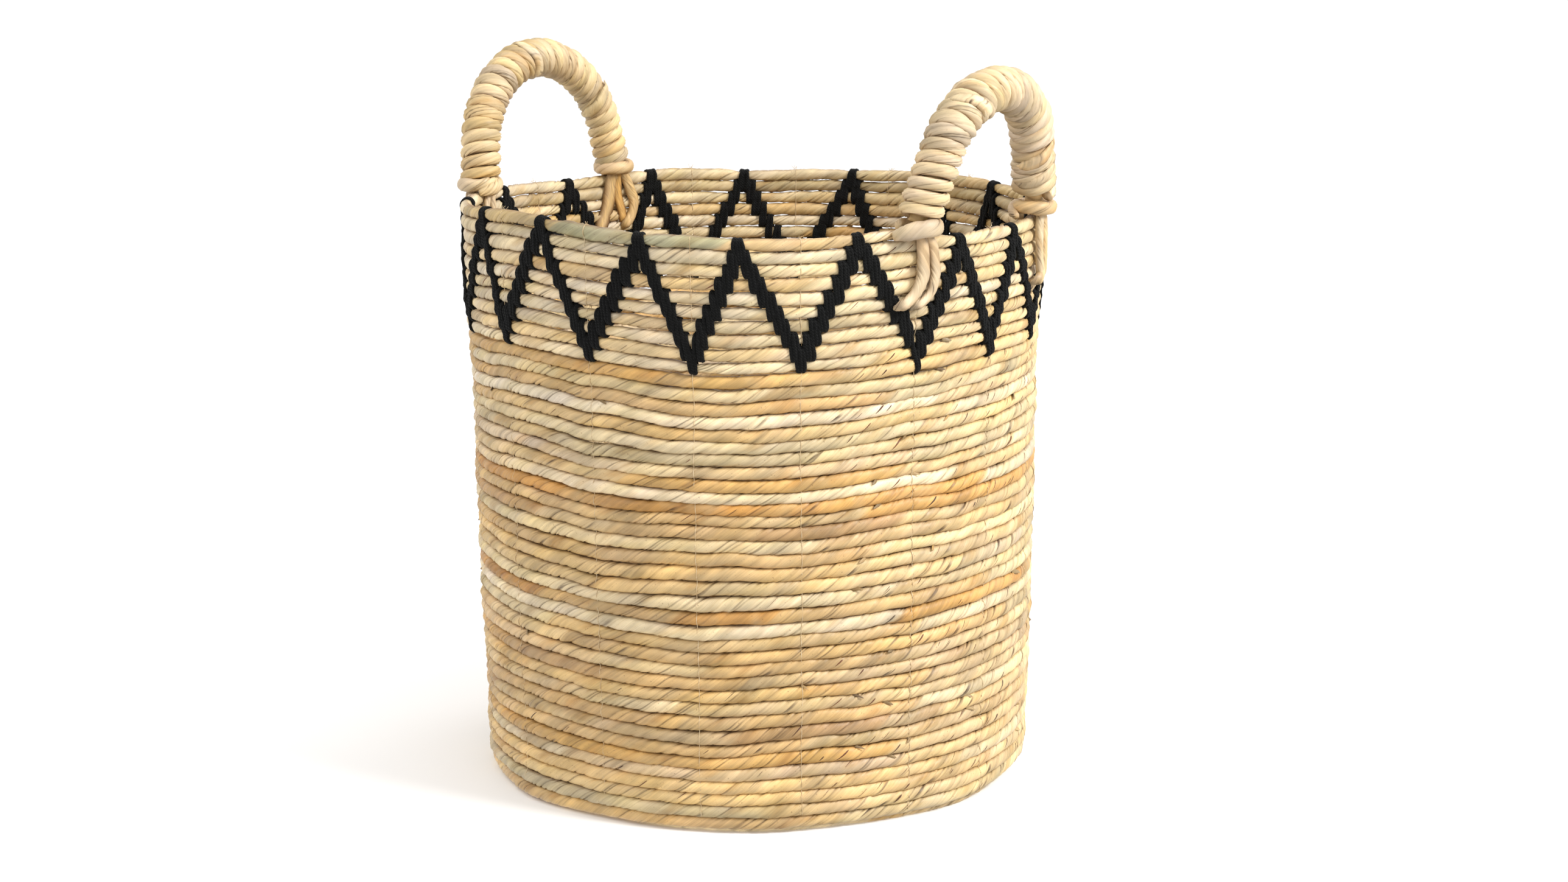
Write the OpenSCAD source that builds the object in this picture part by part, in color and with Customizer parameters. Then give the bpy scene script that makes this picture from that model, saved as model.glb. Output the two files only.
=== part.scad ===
// A round laundry basket of coiled rope: a flat coiled base, a coiled wall with two
// amber rows, an open band of rope rows laced with black yarn in a zigzag, upright
// lines of sewing thread, and two arched handles of wrapped rope tied to the band.
// The origin is at the centre of the underside, +Z is up and the handles lie on X.
// Millimetres and degrees.

/* [Wall] */
// Outer radius at the top row
rim_radius = 200; // [185:1:215]
// Outer radius at the foot of the wall
foot_radius = 190; // [175:1:205]
// Rows under the lower amber row
lower_rows = 16; // [12:1:20]
// Rows between the two amber rows
middle_rows = 7; // [4:1:10]
// Rows between the upper amber row and the open band
upper_rows = 10; // [6:1:13]
// Height that each row adds up to the upper amber row
lower_pitch = 8.95; // [8:0.05:10]
// Height that each row adds from the upper amber row to the band
upper_pitch = 8.45; // [7.6:0.05:9.6]
// How much two pressed rows of one rope flatten each other
row_press = 0.3; // [0.1:0.05:0.6]
// How far the lowest row is drawn in at the heel
heel_inset = 2.5; // [1:0.1:4]
// How much the rope is flattened underneath, where the basket stands
underside_flat = 0.8; // [0.4:0.1:1.2]
// Gap at the seam between two lengths of rope
seam_gap = 0.1; // [0.05:0.05:0.3]

/* [Open band] */
// Rows in the open band, the rim row among them
band_rows = 10; // [9:1:12]
// Diameter of the rope in the band
band_rope_d = 7.4; // [6.6:0.1:8.4]
// Gap between two rows of the band
band_gap = 1.05; // [0.8:0.05:1.6]

/* [Yarn and thread] */
// How far the yarn stands off the rope that it wraps
yarn_thickness = 1.5; // [1.1:0.1:2.2]
// Clearance between yarn and rope
yarn_clearance = 0.1; // [0.05:0.05:0.2]
// Width of the yarn loop over the rim at each peak
peak_width = 8; // [6:0.5:10]
// Bare width that the yarn leaves at the sewing line in each valley
valley_gap = 2; // [1.6:0.2:3]
// Width of a line of sewing thread
thread_width = 0.9; // [0.6:0.1:1.2]
// Thickness of a line of sewing thread
thread_thickness = 0.4; // [0.3:0.05:0.5]
// Clearance between thread and rope
thread_clearance = 0.1; // [0.05:0.05:0.2]

/* [Handles] */
// Angle round the rim from the middle of the right handle to each of its feet
right_foot_angle = 20; // [18:0.5:22]
// Height of the right handle's core above the rim row's centre
right_rise = 91; // [80:1:110]
// Radius of the right handle's round top
right_arch_radius = 55; // [48:1:60]
// Outward lean of the right handle
right_lean = 10; // [0:1:12]
// Angle round the rim to the middle of the left handle
left_middle_angle = 182; // [180:0.5:184]
// Angle round the rim from the middle of the left handle to each of its feet
left_foot_angle = 22; // [20:0.5:24]
// Height of the left handle's core above the rim row's centre
left_rise = 95; // [85:1:115]
// Radius of the left handle's round top
left_arch_radius = 70; // [60:1:72]
// Outward lean of the left handle
left_lean = 7; // [0:1:12]
// Diameter of the rope core
core_d = 12; // [10:0.5:14]
// Gap between the rim row and the round end of the core
core_seat_gap = 0.9; // [0.7:0.05:1]
// Diameter of the rope wrapped round the core
wrap_rope_d = 7.8; // [6.8:0.1:8.8]
// Length of handle that one turn of the wrap covers
turn_pitch = 8.1; // [7.2:0.1:9.4]
// Clearance between core and wrap
wrap_clearance = 0.1; // [0.05:0.05:0.2]
// Diameter of the rope in the collar turn at each foot
collar_rope_d = 8.4; // [7.4:0.1:9]
// Gap between the rim row and the underside of a collar
collar_seat_gap = 2.4; // [2.4:0.05:3]

/* [Handle ties] */
// Band rows that each tie passes under
tied_rows = 5; // [4:1:6]
// Diameter of one strand of a tie
strand_d = 6.6; // [5.6:0.1:7.2]
// Gap between the wall and a strand
strand_gap = 0.3; // [0.2:0.05:0.5]
// Gap between the two strands of a tie, where the sewing line runs
strand_spacing = 1.2; // [1:0.1:1.6]
// Height of the rim's top above the ends of a tie
tie_drop = 5.6; // [5.4:0.1:7]

/* [Hidden] */
// Sewing lines round the basket, in degrees from +X. Their spacing is uneven, as set
// by hand, and a handle's foot stands on the line nearest to it.
free_lines_back = [38, 57, 75, 97, 119, 142];
free_lines_front = [231, 253, 276, 297, 317];
lines = concat(
    [0, right_foot_angle],
    free_lines_back,
    [left_middle_angle - left_foot_angle, left_middle_angle, left_middle_angle + left_foot_angle],
    free_lines_front,
    [360 - right_foot_angle]
);
line_count = len(lines);
// The yarn's peaks, one between each two lines and not always halfway.
peaks = [
    8, 29, 47.5, 66, 86, 106, 130.5, 151.5, 172.5,
    194, 218, 245, 265.5, 287.5, 306, 328, 350.5
];

$fn = 72;
rope_facets = 32;

rope_colour = [0.86, 0.74, 0.52];
amber_colour = [0.78, 0.52, 0.22];
band_colour = [0.88, 0.80, 0.60];
wrap_colour = [0.87, 0.76, 0.57];
tie_colour = [0.83, 0.70, 0.50];
yarn_colour = [0.05, 0.05, 0.06];
thread_colour = [0.93, 0.92, 0.88];

// Rows are numbered upwards from 0, the heel row.
lower_amber = lower_rows;
upper_amber = lower_amber + middle_rows + 1;
first_band = upper_amber + upper_rows + 1;
rim = first_band + band_rows - 1;

lower_r = (lower_pitch + row_press) / 2;
upper_r = (upper_pitch + row_press) / 2;
band_r = band_rope_d / 2;
band_pitch = band_rope_d + band_gap;

function row_r(i) = i < upper_amber ? lower_r : i < first_band ? upper_r : band_r;

// The heel row lies under and inside the next row, pressed against it at a slant.
heel_z = lower_r - underside_flat;
second_row_z = heel_z + sqrt(lower_pitch * lower_pitch - heel_inset * heel_inset);
upper_amber_z = second_row_z + (upper_amber - 1.5) * lower_pitch + upper_pitch / 2;
first_band_z = upper_amber_z + upper_rows * upper_pitch + upper_r + band_gap + band_r;
rim_z = first_band_z + (band_rows - 1) * band_pitch;

function row_z(i) =
    i == 0 ? heel_z :
    i < upper_amber ? second_row_z + (i - 1) * lower_pitch :
    i < first_band ? upper_amber_z + (i - upper_amber) * upper_pitch :
    first_band_z + (i - first_band) * band_pitch;

// Height of the joint face on top of row i, halfway to the row pressed on it.
function joint_z(i) = row_z(i) + (i < upper_amber ? lower_pitch : upper_pitch) / 2;

// The wall widens evenly from its foot to the rim.
function outer_radius(z) = foot_radius + (rim_radius - foot_radius) * z / rim_z;
function row_centre(i) = outer_radius(row_z(i)) - row_r(i) - (i == 0 ? heel_inset : 0);
function band_inner_radius(z) = outer_radius(z) - band_rope_d;

rim_top = rim_z + band_r;
past_all = 2 * rim_radius;

// The base's rings share the radius of the heel row evenly.
base_rings = round(row_centre(0) / lower_pitch);
base_pitch = row_centre(0) / base_rings;
base_r = (base_pitch + row_press) / 2;
base_edge = row_centre(0) - base_pitch / 2;

// Section through one rope, in the plane that is revolved: x is radius, y is height.
module rope_section(i, grow = 0) {
    translate([row_centre(i), row_z(i)])
        circle(row_r(i) + grow, $fn = rope_facets);
}

// Pressed rows first to last of one rope, cut flat at their joints with the next rope.
module pressed_rows(first, last, open_top = false) {
    floor_z = first == 0 ? 0 : joint_z(first - 1) + seam_gap / 2;
    top_z = open_top ? row_z(last) + past_all : joint_z(last) - seam_gap / 2;
    rotate_extrude()
        intersection() {
            union()
                for (i = [first : last])
                    rope_section(i);
            translate([base_edge + seam_gap / 2, floor_z])
                square([past_all, top_z - floor_z]);
        }
}

module base_coil() {
    color(rope_colour)
        rotate_extrude()
            intersection() {
                union()
                    for (ring = [0 : base_rings - 1])
                        translate([ring * base_pitch, base_r - underside_flat])
                            circle(base_r, $fn = rope_facets);
                square([base_edge - seam_gap / 2, 2 * base_r]);
            }
}

module lower_wall() {
    color(rope_colour) pressed_rows(0, lower_amber - 1);
}

module amber_row_lower() {
    color(amber_colour) pressed_rows(lower_amber, lower_amber);
}

module middle_wall() {
    color(rope_colour) pressed_rows(lower_amber + 1, upper_amber - 1);
}

module amber_row_upper() {
    color(amber_colour) pressed_rows(upper_amber, upper_amber);
}

module upper_wall() {
    color(rope_colour) pressed_rows(upper_amber + 1, first_band - 1, open_top = true);
}

// Band rows are counted downwards from 1, the rim row.
function band_index(n) = rim + 1 - n;

module band_row(n) {
    color(band_colour)
        rotate_extrude()
            rope_section(band_index(n));
}

// --- Black yarn ---

yarn_outline_step = 30;
stitch_gap = 0.1;

// Section through a stitch that wraps band rows n and n + 1 together. It fills the gaps
// to the rows above and below as far as its clearance allows.
module stitch_section(n) {
    top = band_index(n);
    reach = band_r + yarn_thickness;
    upper_half = [for (a = [0 : yarn_outline_step : 180])
        [row_centre(top) + reach * cos(a), row_z(top) + reach * sin(a)]];
    lower_half = [for (a = [180 : yarn_outline_step : 360])
        [row_centre(top - 1) + reach * cos(a), row_z(top - 1) + reach * sin(a)]];
    difference() {
        polygon(concat(upper_half, lower_half));
        for (i = [top - 2 : min(top + 1, rim)])
            rope_section(i, yarn_clearance);
    }
}

function arc_degrees(length) = length / rim_radius * 180 / PI;

// A stitch between two angles, less the hair's breadth that parts it from its neighbours.
module stitch(n, from, to) {
    gap = arc_degrees(stitch_gap);
    rotate([0, 0, from + gap / 2])
        rotate_extrude(angle = to - from - gap)
            stitch_section(n);
}

// One peak of the zigzag: a loop over the rim and a leg of stepped stitches on each side,
// down to the sewing lines at lines[i - 1] and the one after it.
module yarn_peak(i) {
    from = lines[i - 1];
    to = i < line_count ? lines[i] : 360;
    loop = arc_degrees(peak_width) / 2;
    bare = arc_degrees(valley_gap) / 2;
    leg_stitches = band_rows - 2;
    left_edge = peaks[i - 1] - loop;
    right_edge = peaks[i - 1] + loop;
    left_step = (left_edge - from - bare) / leg_stitches;
    right_step = (to - bare - right_edge) / leg_stitches;
    color(yarn_colour) {
        stitch(1, left_edge, right_edge);
        for (k = [1 : leg_stitches]) {
            stitch(k + 1, right_edge + (k - 1) * right_step, right_edge + k * right_step);
            stitch(k + 1, left_edge - k * left_step, left_edge - (k - 1) * left_step);
        }
    }
}

// --- Sewing thread ---

// Section through one line of thread: up the outside, over the rim row, down the inside.
module thread_section() {
    near = thread_clearance;
    far = thread_clearance + thread_thickness;
    low_z = row_z(1);
    step_z = first_band_z - band_r;
    wall_inner = outer_radius(low_z) - 2 * lower_r;
    step_inner = outer_radius(step_z) - 2 * max(upper_r, lower_r);
    polygon([
        [outer_radius(low_z) + near, low_z],
        [outer_radius(low_z) + far, low_z],
        [outer_radius(rim_z) + far, rim_z],
        [outer_radius(rim_z) + near, rim_z]
    ]);
    polygon([
        [wall_inner - near, low_z],
        [wall_inner - far, low_z],
        [step_inner - far, step_z],
        [band_inner_radius(step_z + band_r) - far, step_z + band_r],
        [band_inner_radius(rim_z) - far, rim_z],
        [band_inner_radius(rim_z) - near, rim_z],
        [band_inner_radius(step_z + band_r) - near, step_z + band_r],
        [step_inner - near, step_z]
    ]);
    intersection() {
        difference() {
            rope_section(rim, far);
            rope_section(rim, near);
        }
        translate([0, rim_z])
            square([past_all, past_all]);
    }
}

module sewing_thread() {
    width = arc_degrees(thread_width);
    color(thread_colour)
        for (line = lines)
            rotate([0, 0, line - width / 2])
                rotate_extrude(angle = width)
                    thread_section();
}

// --- Handles ---
// A handle is made in its own frame: the hinge line through its feet is Y at height 0,
// which is the height of the rim row's centre, and it stands up along Z.

core_r = core_d / 2;
bore_r = core_r + wrap_clearance;
wrap_r = bore_r + wrap_rope_d;
foot_z = band_r + core_seat_gap + core_r;
collar_r = collar_rope_d / 2;
collar_ring_r = core_r + collar_r + 0.5;
collar_z = band_r + collar_seat_gap + collar_r;
wrap_start_gap = 0.4;
turn_gap = 0.5;
top_swell = 0.05;
// How far a leg's core runs on into the fatter core of the round top
leg_overlap = 1;
// Leg that the collar and one turn of the wrap take up
shortest_leg = collar_z + collar_r + wrap_start_gap - foot_z + wrap_r / 2 + turn_pitch;

function half_span(foot_angle) = row_centre(rim) * sin(foot_angle);
function hinge_x(foot_angle) = row_centre(rim) * cos(foot_angle);

// The arch is a round top with straight legs that run from it to the feet at a tangent.
function foot_distance(half, rise, arch) = norm([half, foot_z - (rise - arch)]);
function leg_lean(half, rise, arch) =
    atan2(foot_z - (rise - arch), half) + acos(arch / foot_distance(half, rise, arch));
function leg_length(half, rise, arch) = sqrt(pow(foot_distance(half, rise, arch), 2) - arch * arch);

// Like a fillet between the legs, the round top is no wider than the legs leave room for.
function fitted_arch(half, rise, arch) =
    let (height = rise - foot_z)
    min(arch, (half * half + height * height - shortest_leg * shortest_leg) / (2 * height));

module place_handle(turned, foot_angle, lean) {
    rotate([0, 0, turned])
        translate([hinge_x(foot_angle), 0, rim_z])
            rotate([0, lean, 0])
                children();
}

// Puts its children on a leg, with Z along the leg from the centre of the core's end.
module on_leg(side, half, lean) {
    translate([0, side * half, foot_z])
        rotate([side * lean, 0, 0])
            children();
}

// Revolves its children from angle a to angle b round the arch, a ring in the YZ plane.
module round_top(rise, arch, a, b) {
    translate([0, 0, rise - arch])
        rotate([90, 0, 90])
            rotate([0, 0, a])
                rotate_extrude(angle = b - a)
                    translate([arch, 0])
                        children();
}

// Half of a round bar's outline, revolved: from z = 0 up to length, with a round foot.
module bar_with_round_foot(r, length) {
    rotate_extrude($fn = rope_facets) {
        square([r, length]);
        intersection() {
            circle(r);
            translate([0, -r])
                square([r, r]);
        }
    }
}

module handle_core(half, rise, arch) {
    lean = leg_lean(half, rise, arch);
    color(tie_colour)
        union() {
            for (side = [-1, 1])
                on_leg(side, half, lean)
                    bar_with_round_foot(core_r, leg_length(half, rise, arch) + leg_overlap);
            round_top(rise, arch, lean, 180 - lean)
                circle(core_r + top_swell, $fn = rope_facets);
        }
}

// The wrap's turns, each a ring round the core: round ones on the legs, and round the top
// wedges that narrow towards the inside of the bend.
module handle_wrap(half, rise, arch) {
    lean = leg_lean(half, rise, arch);
    length = leg_length(half, rise, arch);
    start = (collar_z + collar_r + wrap_start_gap + wrap_r * sin(lean) - foot_z) / cos(lean);
    leg_turns = floor((length - start) / turn_pitch);
    leg_turn = (length - start) / leg_turns;
    top_arc = 180 - 2 * lean;
    top_turns = round(top_arc * PI / 180 * arch / turn_pitch);
    top_turn = top_arc / top_turns;
    gap = turn_gap / arch * 180 / PI;
    color(wrap_colour) {
        for (side = [-1, 1], k = [0.5 : leg_turns - 0.5])
            on_leg(side, half, lean)
                translate([0, 0, start + k * leg_turn])
                    rotate_extrude()
                        translate([bore_r + wrap_rope_d / 2, 0])
                            circle(wrap_rope_d / 2, $fn = rope_facets);
        for (k = [0 : top_turns - 1])
            round_top(rise, arch, lean + k * top_turn + gap / 2, lean + (k + 1) * top_turn - gap / 2)
                difference() {
                    circle(wrap_r, $fn = rope_facets);
                    circle(bore_r + top_swell, $fn = rope_facets);
                }
    }
}

module handle_collars(half) {
    color(wrap_colour)
        for (side = [-1, 1])
            translate([0, side * half, collar_z])
                rotate_extrude()
                    translate([collar_ring_r, 0])
                        circle(collar_r, $fn = rope_facets);
}

module handle_piece(side, piece) {
    right = side == "right";
    foot_angle = right ? right_foot_angle : left_foot_angle;
    rise = right ? right_rise : left_rise;
    half = half_span(foot_angle);
    arch = fitted_arch(half, rise, right ? right_arch_radius : left_arch_radius);
    place_handle(right ? 0 : left_middle_angle, foot_angle, right ? right_lean : left_lean) {
        if (piece == "core") handle_core(half, rise, arch);
        if (piece == "wrap") handle_wrap(half, rise, arch);
        if (piece == "collars") handle_collars(half);
    }
}

// --- Handle ties ---

strand_r = strand_d / 2;
web_thickness = band_gap - 2 * yarn_clearance;
web_width = strand_d - 1.6;
tie_top_z = rim_top - tie_drop;
tie_low_z = row_z(band_index(tied_rows)) - band_pitch / 2;

// A strand beside the wall at tangential place y, from the gap under the tied rows up to
// the tie's top. side is 1 outside the wall and -1 inside it.
module strand(side, y) {
    low_x = side > 0 ? outer_radius(tie_low_z) : band_inner_radius(tie_low_z);
    top_x = side > 0 ? outer_radius(tie_top_z) : band_inner_radius(tie_top_z);
    height = tie_top_z - tie_low_z;
    translate([low_x + side * (strand_gap + strand_r), y, tie_low_z])
        rotate([0, atan2(top_x - low_x, height), 0])
            bar_with_round_foot(strand_r, height);
}

// Two strands, each joined to its other half inside by a flat web through the wall.
module tie(line) {
    y = (strand_d + strand_spacing) / 2;
    inner_x = band_inner_radius(tie_low_z) - strand_gap - strand_r;
    outer_x = outer_radius(tie_low_z) + strand_gap + strand_r;
    color(tie_colour)
        rotate([0, 0, line])
            for (side = [-1, 1]) {
                strand(1, side * y);
                strand(-1, side * y);
                translate([inner_x, side * y - web_width / 2, tie_low_z - web_thickness / 2])
                    cube([outer_x - inner_x, web_width, web_thickness]);
            }
}

base_coil();
lower_wall();
amber_row_lower();
middle_wall();
amber_row_upper();
upper_wall();
for (n = [2 : band_rows])
    band_row(n);
band_row(1);  // rim_row
for (i = [1 : line_count])
    yarn_peak(i);
sewing_thread();
for (side = ["right", "left"], piece = ["core", "wrap", "collars"])
    handle_piece(side, piece);
tie(-right_foot_angle);  // tie_right_front
tie(right_foot_angle);  // tie_right_back
tie(left_middle_angle + left_foot_angle);  // tie_left_front
tie(left_middle_angle - left_foot_angle);  // tie_left_back
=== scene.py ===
import math

import bpy
import numpy as np
from mathutils import Matrix, Vector


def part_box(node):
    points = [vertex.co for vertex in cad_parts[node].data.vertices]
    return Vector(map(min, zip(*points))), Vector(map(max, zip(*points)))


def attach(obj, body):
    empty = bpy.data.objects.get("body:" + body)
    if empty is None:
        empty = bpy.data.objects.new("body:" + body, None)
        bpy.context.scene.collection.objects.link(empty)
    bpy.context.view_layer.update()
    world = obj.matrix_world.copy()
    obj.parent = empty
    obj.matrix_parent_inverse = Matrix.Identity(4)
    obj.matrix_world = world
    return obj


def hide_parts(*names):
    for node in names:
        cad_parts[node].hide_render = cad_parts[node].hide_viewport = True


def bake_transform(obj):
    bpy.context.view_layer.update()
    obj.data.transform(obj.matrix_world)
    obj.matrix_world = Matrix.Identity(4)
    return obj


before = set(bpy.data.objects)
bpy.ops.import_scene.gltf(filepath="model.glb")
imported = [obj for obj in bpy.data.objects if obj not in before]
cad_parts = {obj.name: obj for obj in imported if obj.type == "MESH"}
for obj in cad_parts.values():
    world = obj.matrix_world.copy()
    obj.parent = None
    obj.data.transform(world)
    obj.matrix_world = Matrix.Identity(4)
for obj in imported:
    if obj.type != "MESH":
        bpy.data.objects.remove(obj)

MM = 0.001
FULL_TURN = 2 * math.pi
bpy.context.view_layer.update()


# --- Noise, the same on every run ---

NOISE_CELLS = 8192
BLUR = 13                   # how many samples a blur takes in


def eased(t):
    return t * t * (3 - 2 * t)


def noise1(x, seed):
    """Smooth noise from -1 to 1 along a line, with one swing per unit of x."""
    table = np.random.RandomState(seed).uniform(-1, 1, NOISE_CELLS)
    cell = np.floor(x).astype(int)
    t = eased(x - cell)
    return table[cell % NOISE_CELLS] * (1 - t) + table[(cell + 1) % NOISE_CELLS] * t


def noise2(x, y, seed, wrap_x=4096, wrap_y=64):
    """Smooth noise from -1 to 1 on a plane that repeats every wrap_x by wrap_y units."""
    table = np.random.RandomState(seed).uniform(-1, 1, (wrap_x, wrap_y))
    i, j = np.floor(x).astype(int), np.floor(y).astype(int)
    t, u = eased(x - i), eased(y - j)
    i0, i1, j0, j1 = i % wrap_x, (i + 1) % wrap_x, j % wrap_y, (j + 1) % wrap_y
    low = table[i0, j0] * (1 - t) + table[i1, j0] * t
    high = table[i0, j1] * (1 - t) + table[i1, j1] * t
    return low * (1 - u) + high * u


# --- Colours ---

def linear(r, g, b):
    """A colour given in 0..255, as light."""
    seen = np.array([r, g, b]) / 255
    return np.where(seen <= 0.04045, seen / 12.92, ((seen + 0.055) / 1.055) ** 2.4)


TONES = {
    "cream": linear(216, 193, 148),
    "white": linear(223, 204, 170),
    "pink": linear(210, 185, 148),
    "blanched": linear(211, 190, 156),
    "straw": linear(209, 176, 120),
    "tan": linear(198, 163, 110),
    "golden": linear(203, 162, 98),
    "amber": linear(190, 140, 74),
    "brown": linear(181, 144, 96),
    "grey": linear(187, 167, 127),
    "green": linear(160, 154, 121),
}
# Painted shade: the colour the rope takes in its creases, along its strips' seams and in its slits.
CREASE_AND_SLIT_SHADE = linear(58, 32, 15)
# Painted shade, with some brown staining, where turns of rope meet.
GAP_SHADE_AND_STAIN = linear(112, 64, 26)
# Painted shade inside the slit marks.
SLIT_MARK_SHADE = linear(84, 46, 20)

# The colour of each row, from the rim down.
ROW_TONES = (
    "cream grey cream straw white cream grey cream straw cream"
    " golden cream tan white straw cream grey pink golden white"
    " amber tan brown cream tan straw straw cream amber white"
    " grey tan tan brown straw cream tan brown tan golden pink straw straw grey tan"
).split()
# The colours that the base's rope goes through.
BASE_TONES = ("straw", "tan", "cream", "straw", "golden")
BASE_TONE_LENGTH, PALE_TONE_LENGTH = 170, 140
# The colours that odd strips of a rope take on.
ODD_TONES = ("cream", "straw", "tan", "golden", "pink", "grey", "cream")


def pale(names):
    """Tones near the middle of those named, the next one after each PALE_TONE_LENGTH."""
    middle = np.mean([TONES[k] for k in names], 0)

    def choose(s):
        return 0.55 * middle + 0.45 * TONES[names[int(s / PALE_TONE_LENGTH) % len(names)]]
    return choose


# --- Lines ---

def unit(vectors):
    return vectors / np.linalg.norm(vectors, axis=-1)[..., None]


def lengths(points):
    """How far along a line each of its points lies."""
    return np.concatenate([[0], np.cumsum(np.linalg.norm(np.diff(points, axis=0), axis=1))])


def read_off(s, at, values):
    """Values known at the lengths at, numbers or vectors, read off at the lengths s."""
    if values.ndim == 1:
        return np.interp(s, at, values)
    return np.stack([np.interp(s, at, v) for v in values.T], -1)


def square_to(ahead, across):
    """The directions nearest to across that are square to a line, and those square to both."""
    along = unit(ahead)
    across = unit(across - along * (across * along).sum(1)[:, None])
    return across, np.cross(across, along)


def blurred(values, weights):
    """Values along a line, each the weighted mean of those about it."""
    return np.convolve(np.pad(values, len(weights) // 2, "edge"), weights, "valid")


class Path:
    """A line through space, by length along it, with a direction across it and the half
    depth a and half width b of what runs along it at every point."""

    def __init__(self, points, across, a, b):
        self.at = lengths(points)
        self.length = self.at[-1]
        self.points, self.a, self.b = points, *(np.broadcast_to(v, self.at.shape) for v in (a, b))
        self.across, self.third = square_to(np.gradient(points, axis=0), across)

    def look_up(self, s):
        """The points, the two directions across and the half sizes at the lengths s."""
        return [read_off(s, self.at, v) for v in (self.points, self.across, self.third, self.a, self.b)]


def smooth_line(knots, step=1.0, closed=False):
    """A Catmull-Rom curve through the knots, in even steps."""
    knots = np.asarray(knots, float)
    if closed:
        ring = np.vstack([knots[-1:], knots, knots[:2]])
    else:
        ring = np.vstack([2 * knots[0] - knots[1], knots, 2 * knots[-1] - knots[-2]])
    t = np.linspace(0, 1, 24, endpoint=False)[:, None]
    out = []
    for a, b, c, d in zip(ring, ring[1:], ring[2:], ring[3:]):
        out.append(0.5 * (2 * b + (c - a) * t + (2 * a - 5 * b + 4 * c - d) * t**2
                          + (3 * b - a - 3 * c + d) * t**3))
    line = np.vstack(out + [ring[-2:-1]])
    at = lengths(line)
    even = np.linspace(0, at[-1], max(4, int(round(at[-1] / step))) + 1)
    return read_off(even, at, line)


# --- Meshes ---
# A shape is its points in millimetres, its triangles, and their places along the fibre.

def new_piece(name, shape, finish, body, slot, replaces=(), colour=None):
    """A smooth mesh as an object, riding on its body. A piece given no body rides on none."""
    verts, faces, uv = shape
    count = len(faces)
    mesh = bpy.data.meshes.new(name)
    mesh.vertices.add(len(verts))
    mesh.vertices.foreach_set("co", (verts * MM).astype(np.float32).ravel())
    mesh.loops.add(3 * count)
    mesh.loops.foreach_set("vertex_index", faces.astype(np.int32).ravel())
    mesh.polygons.add(count)
    mesh.polygons.foreach_set("loop_start", np.arange(0, 3 * count, 3, dtype=np.int32))
    mesh.update(calc_edges=True)
    mesh.polygons.foreach_set("use_smooth", np.ones(count, bool))
    layer = mesh.uv_layers.new(name="fibre")
    layer.uv.foreach_set("vector", (uv * MM).astype(np.float32).ravel())
    if colour is not None:
        layer = mesh.color_attributes.new("tone", "FLOAT_COLOR", "POINT")
        full = np.ones((len(verts), 4), np.float32)
        full[:, :3] = colour
        layer.data.foreach_set("color", full.ravel())
    mesh.materials.append(finish)
    mesh.validate()
    piece = bpy.data.objects.new(name, mesh)
    bpy.context.scene.collection.objects.link(piece)
    if body:
        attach(piece, body)
    if replaces:
        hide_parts(*replaces)
    return piece


def triangles(rows, around, index, flat):
    """The faces of a grid round a rope, as triangles, and their places along the fibre. index
    gives the number of a grid point's vertex, and flat its place."""
    i, j = (v.ravel() for v in np.meshgrid(np.arange(rows), np.arange(around), indexing="ij"))
    corners = ((i, j), (i + 1, j), (i + 1, j + 1), (i, j + 1))
    for given in (index, flat):
        four = np.stack([given(*corner) for corner in corners], 1)
        yield np.vstack([four[:, [0, 1, 2]], four[:, [0, 2, 3]]])


def caps(low, high, total):
    """The triangles from the vertices total and total + 1 to the rings of vertices low and high."""
    first = np.full(len(low), total)
    return np.vstack([np.stack([first, low, np.roll(low, -1)], 1),
                      np.stack([first + 1, np.roll(high, -1), high], 1)])


def tube(points, across, a, b, around, twist=0.0, closed=False):
    """The shape of a cord: a closed ring, or a length that is shut at its ends."""
    n = len(points)
    ahead = np.roll(points, -1, 0) - np.roll(points, 1, 0) if closed else np.gradient(points, axis=0)
    across, third = square_to(ahead, across)
    arc = FULL_TURN / around
    step = np.linalg.norm(points[1] - points[0])
    angle = np.arange(around) * FULL_TURN / around
    a, b = np.broadcast_to(a, n)[:, None], np.broadcast_to(b, n)[:, None]
    verts = (points[:, None] + (a * np.cos(angle))[..., None] * across[:, None]
             + (b * np.sin(angle))[..., None] * third[:, None]).reshape(-1, 3)

    def index(i, j):
        return i % n * around + j % around

    def flat(i, j):
        return np.stack([i * step - j * arc * twist, j * arc], 1)

    faces, uv = triangles(n if closed else n - 1, around, index, flat)
    if closed:
        return verts, faces, uv
    ring = np.arange(around)
    ends = caps(ring, ring + (n - 1) * around, n * around)
    return (np.vstack([verts, points[:1], points[-1:]]), np.vstack([faces, ends]),
            np.vstack([uv, np.zeros((len(ends), 3, 2))]))


def joined(parts):
    """Several shapes as one."""
    starts = np.cumsum([0] + [len(verts) for verts, faces, uv in parts])
    return (np.vstack([verts for verts, faces, uv in parts]),
            np.vstack([faces + start for (verts, faces, uv), start in zip(parts, starts)]),
            np.vstack([uv for verts, faces, uv in parts]))


# --- Twisted leaf ---

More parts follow.
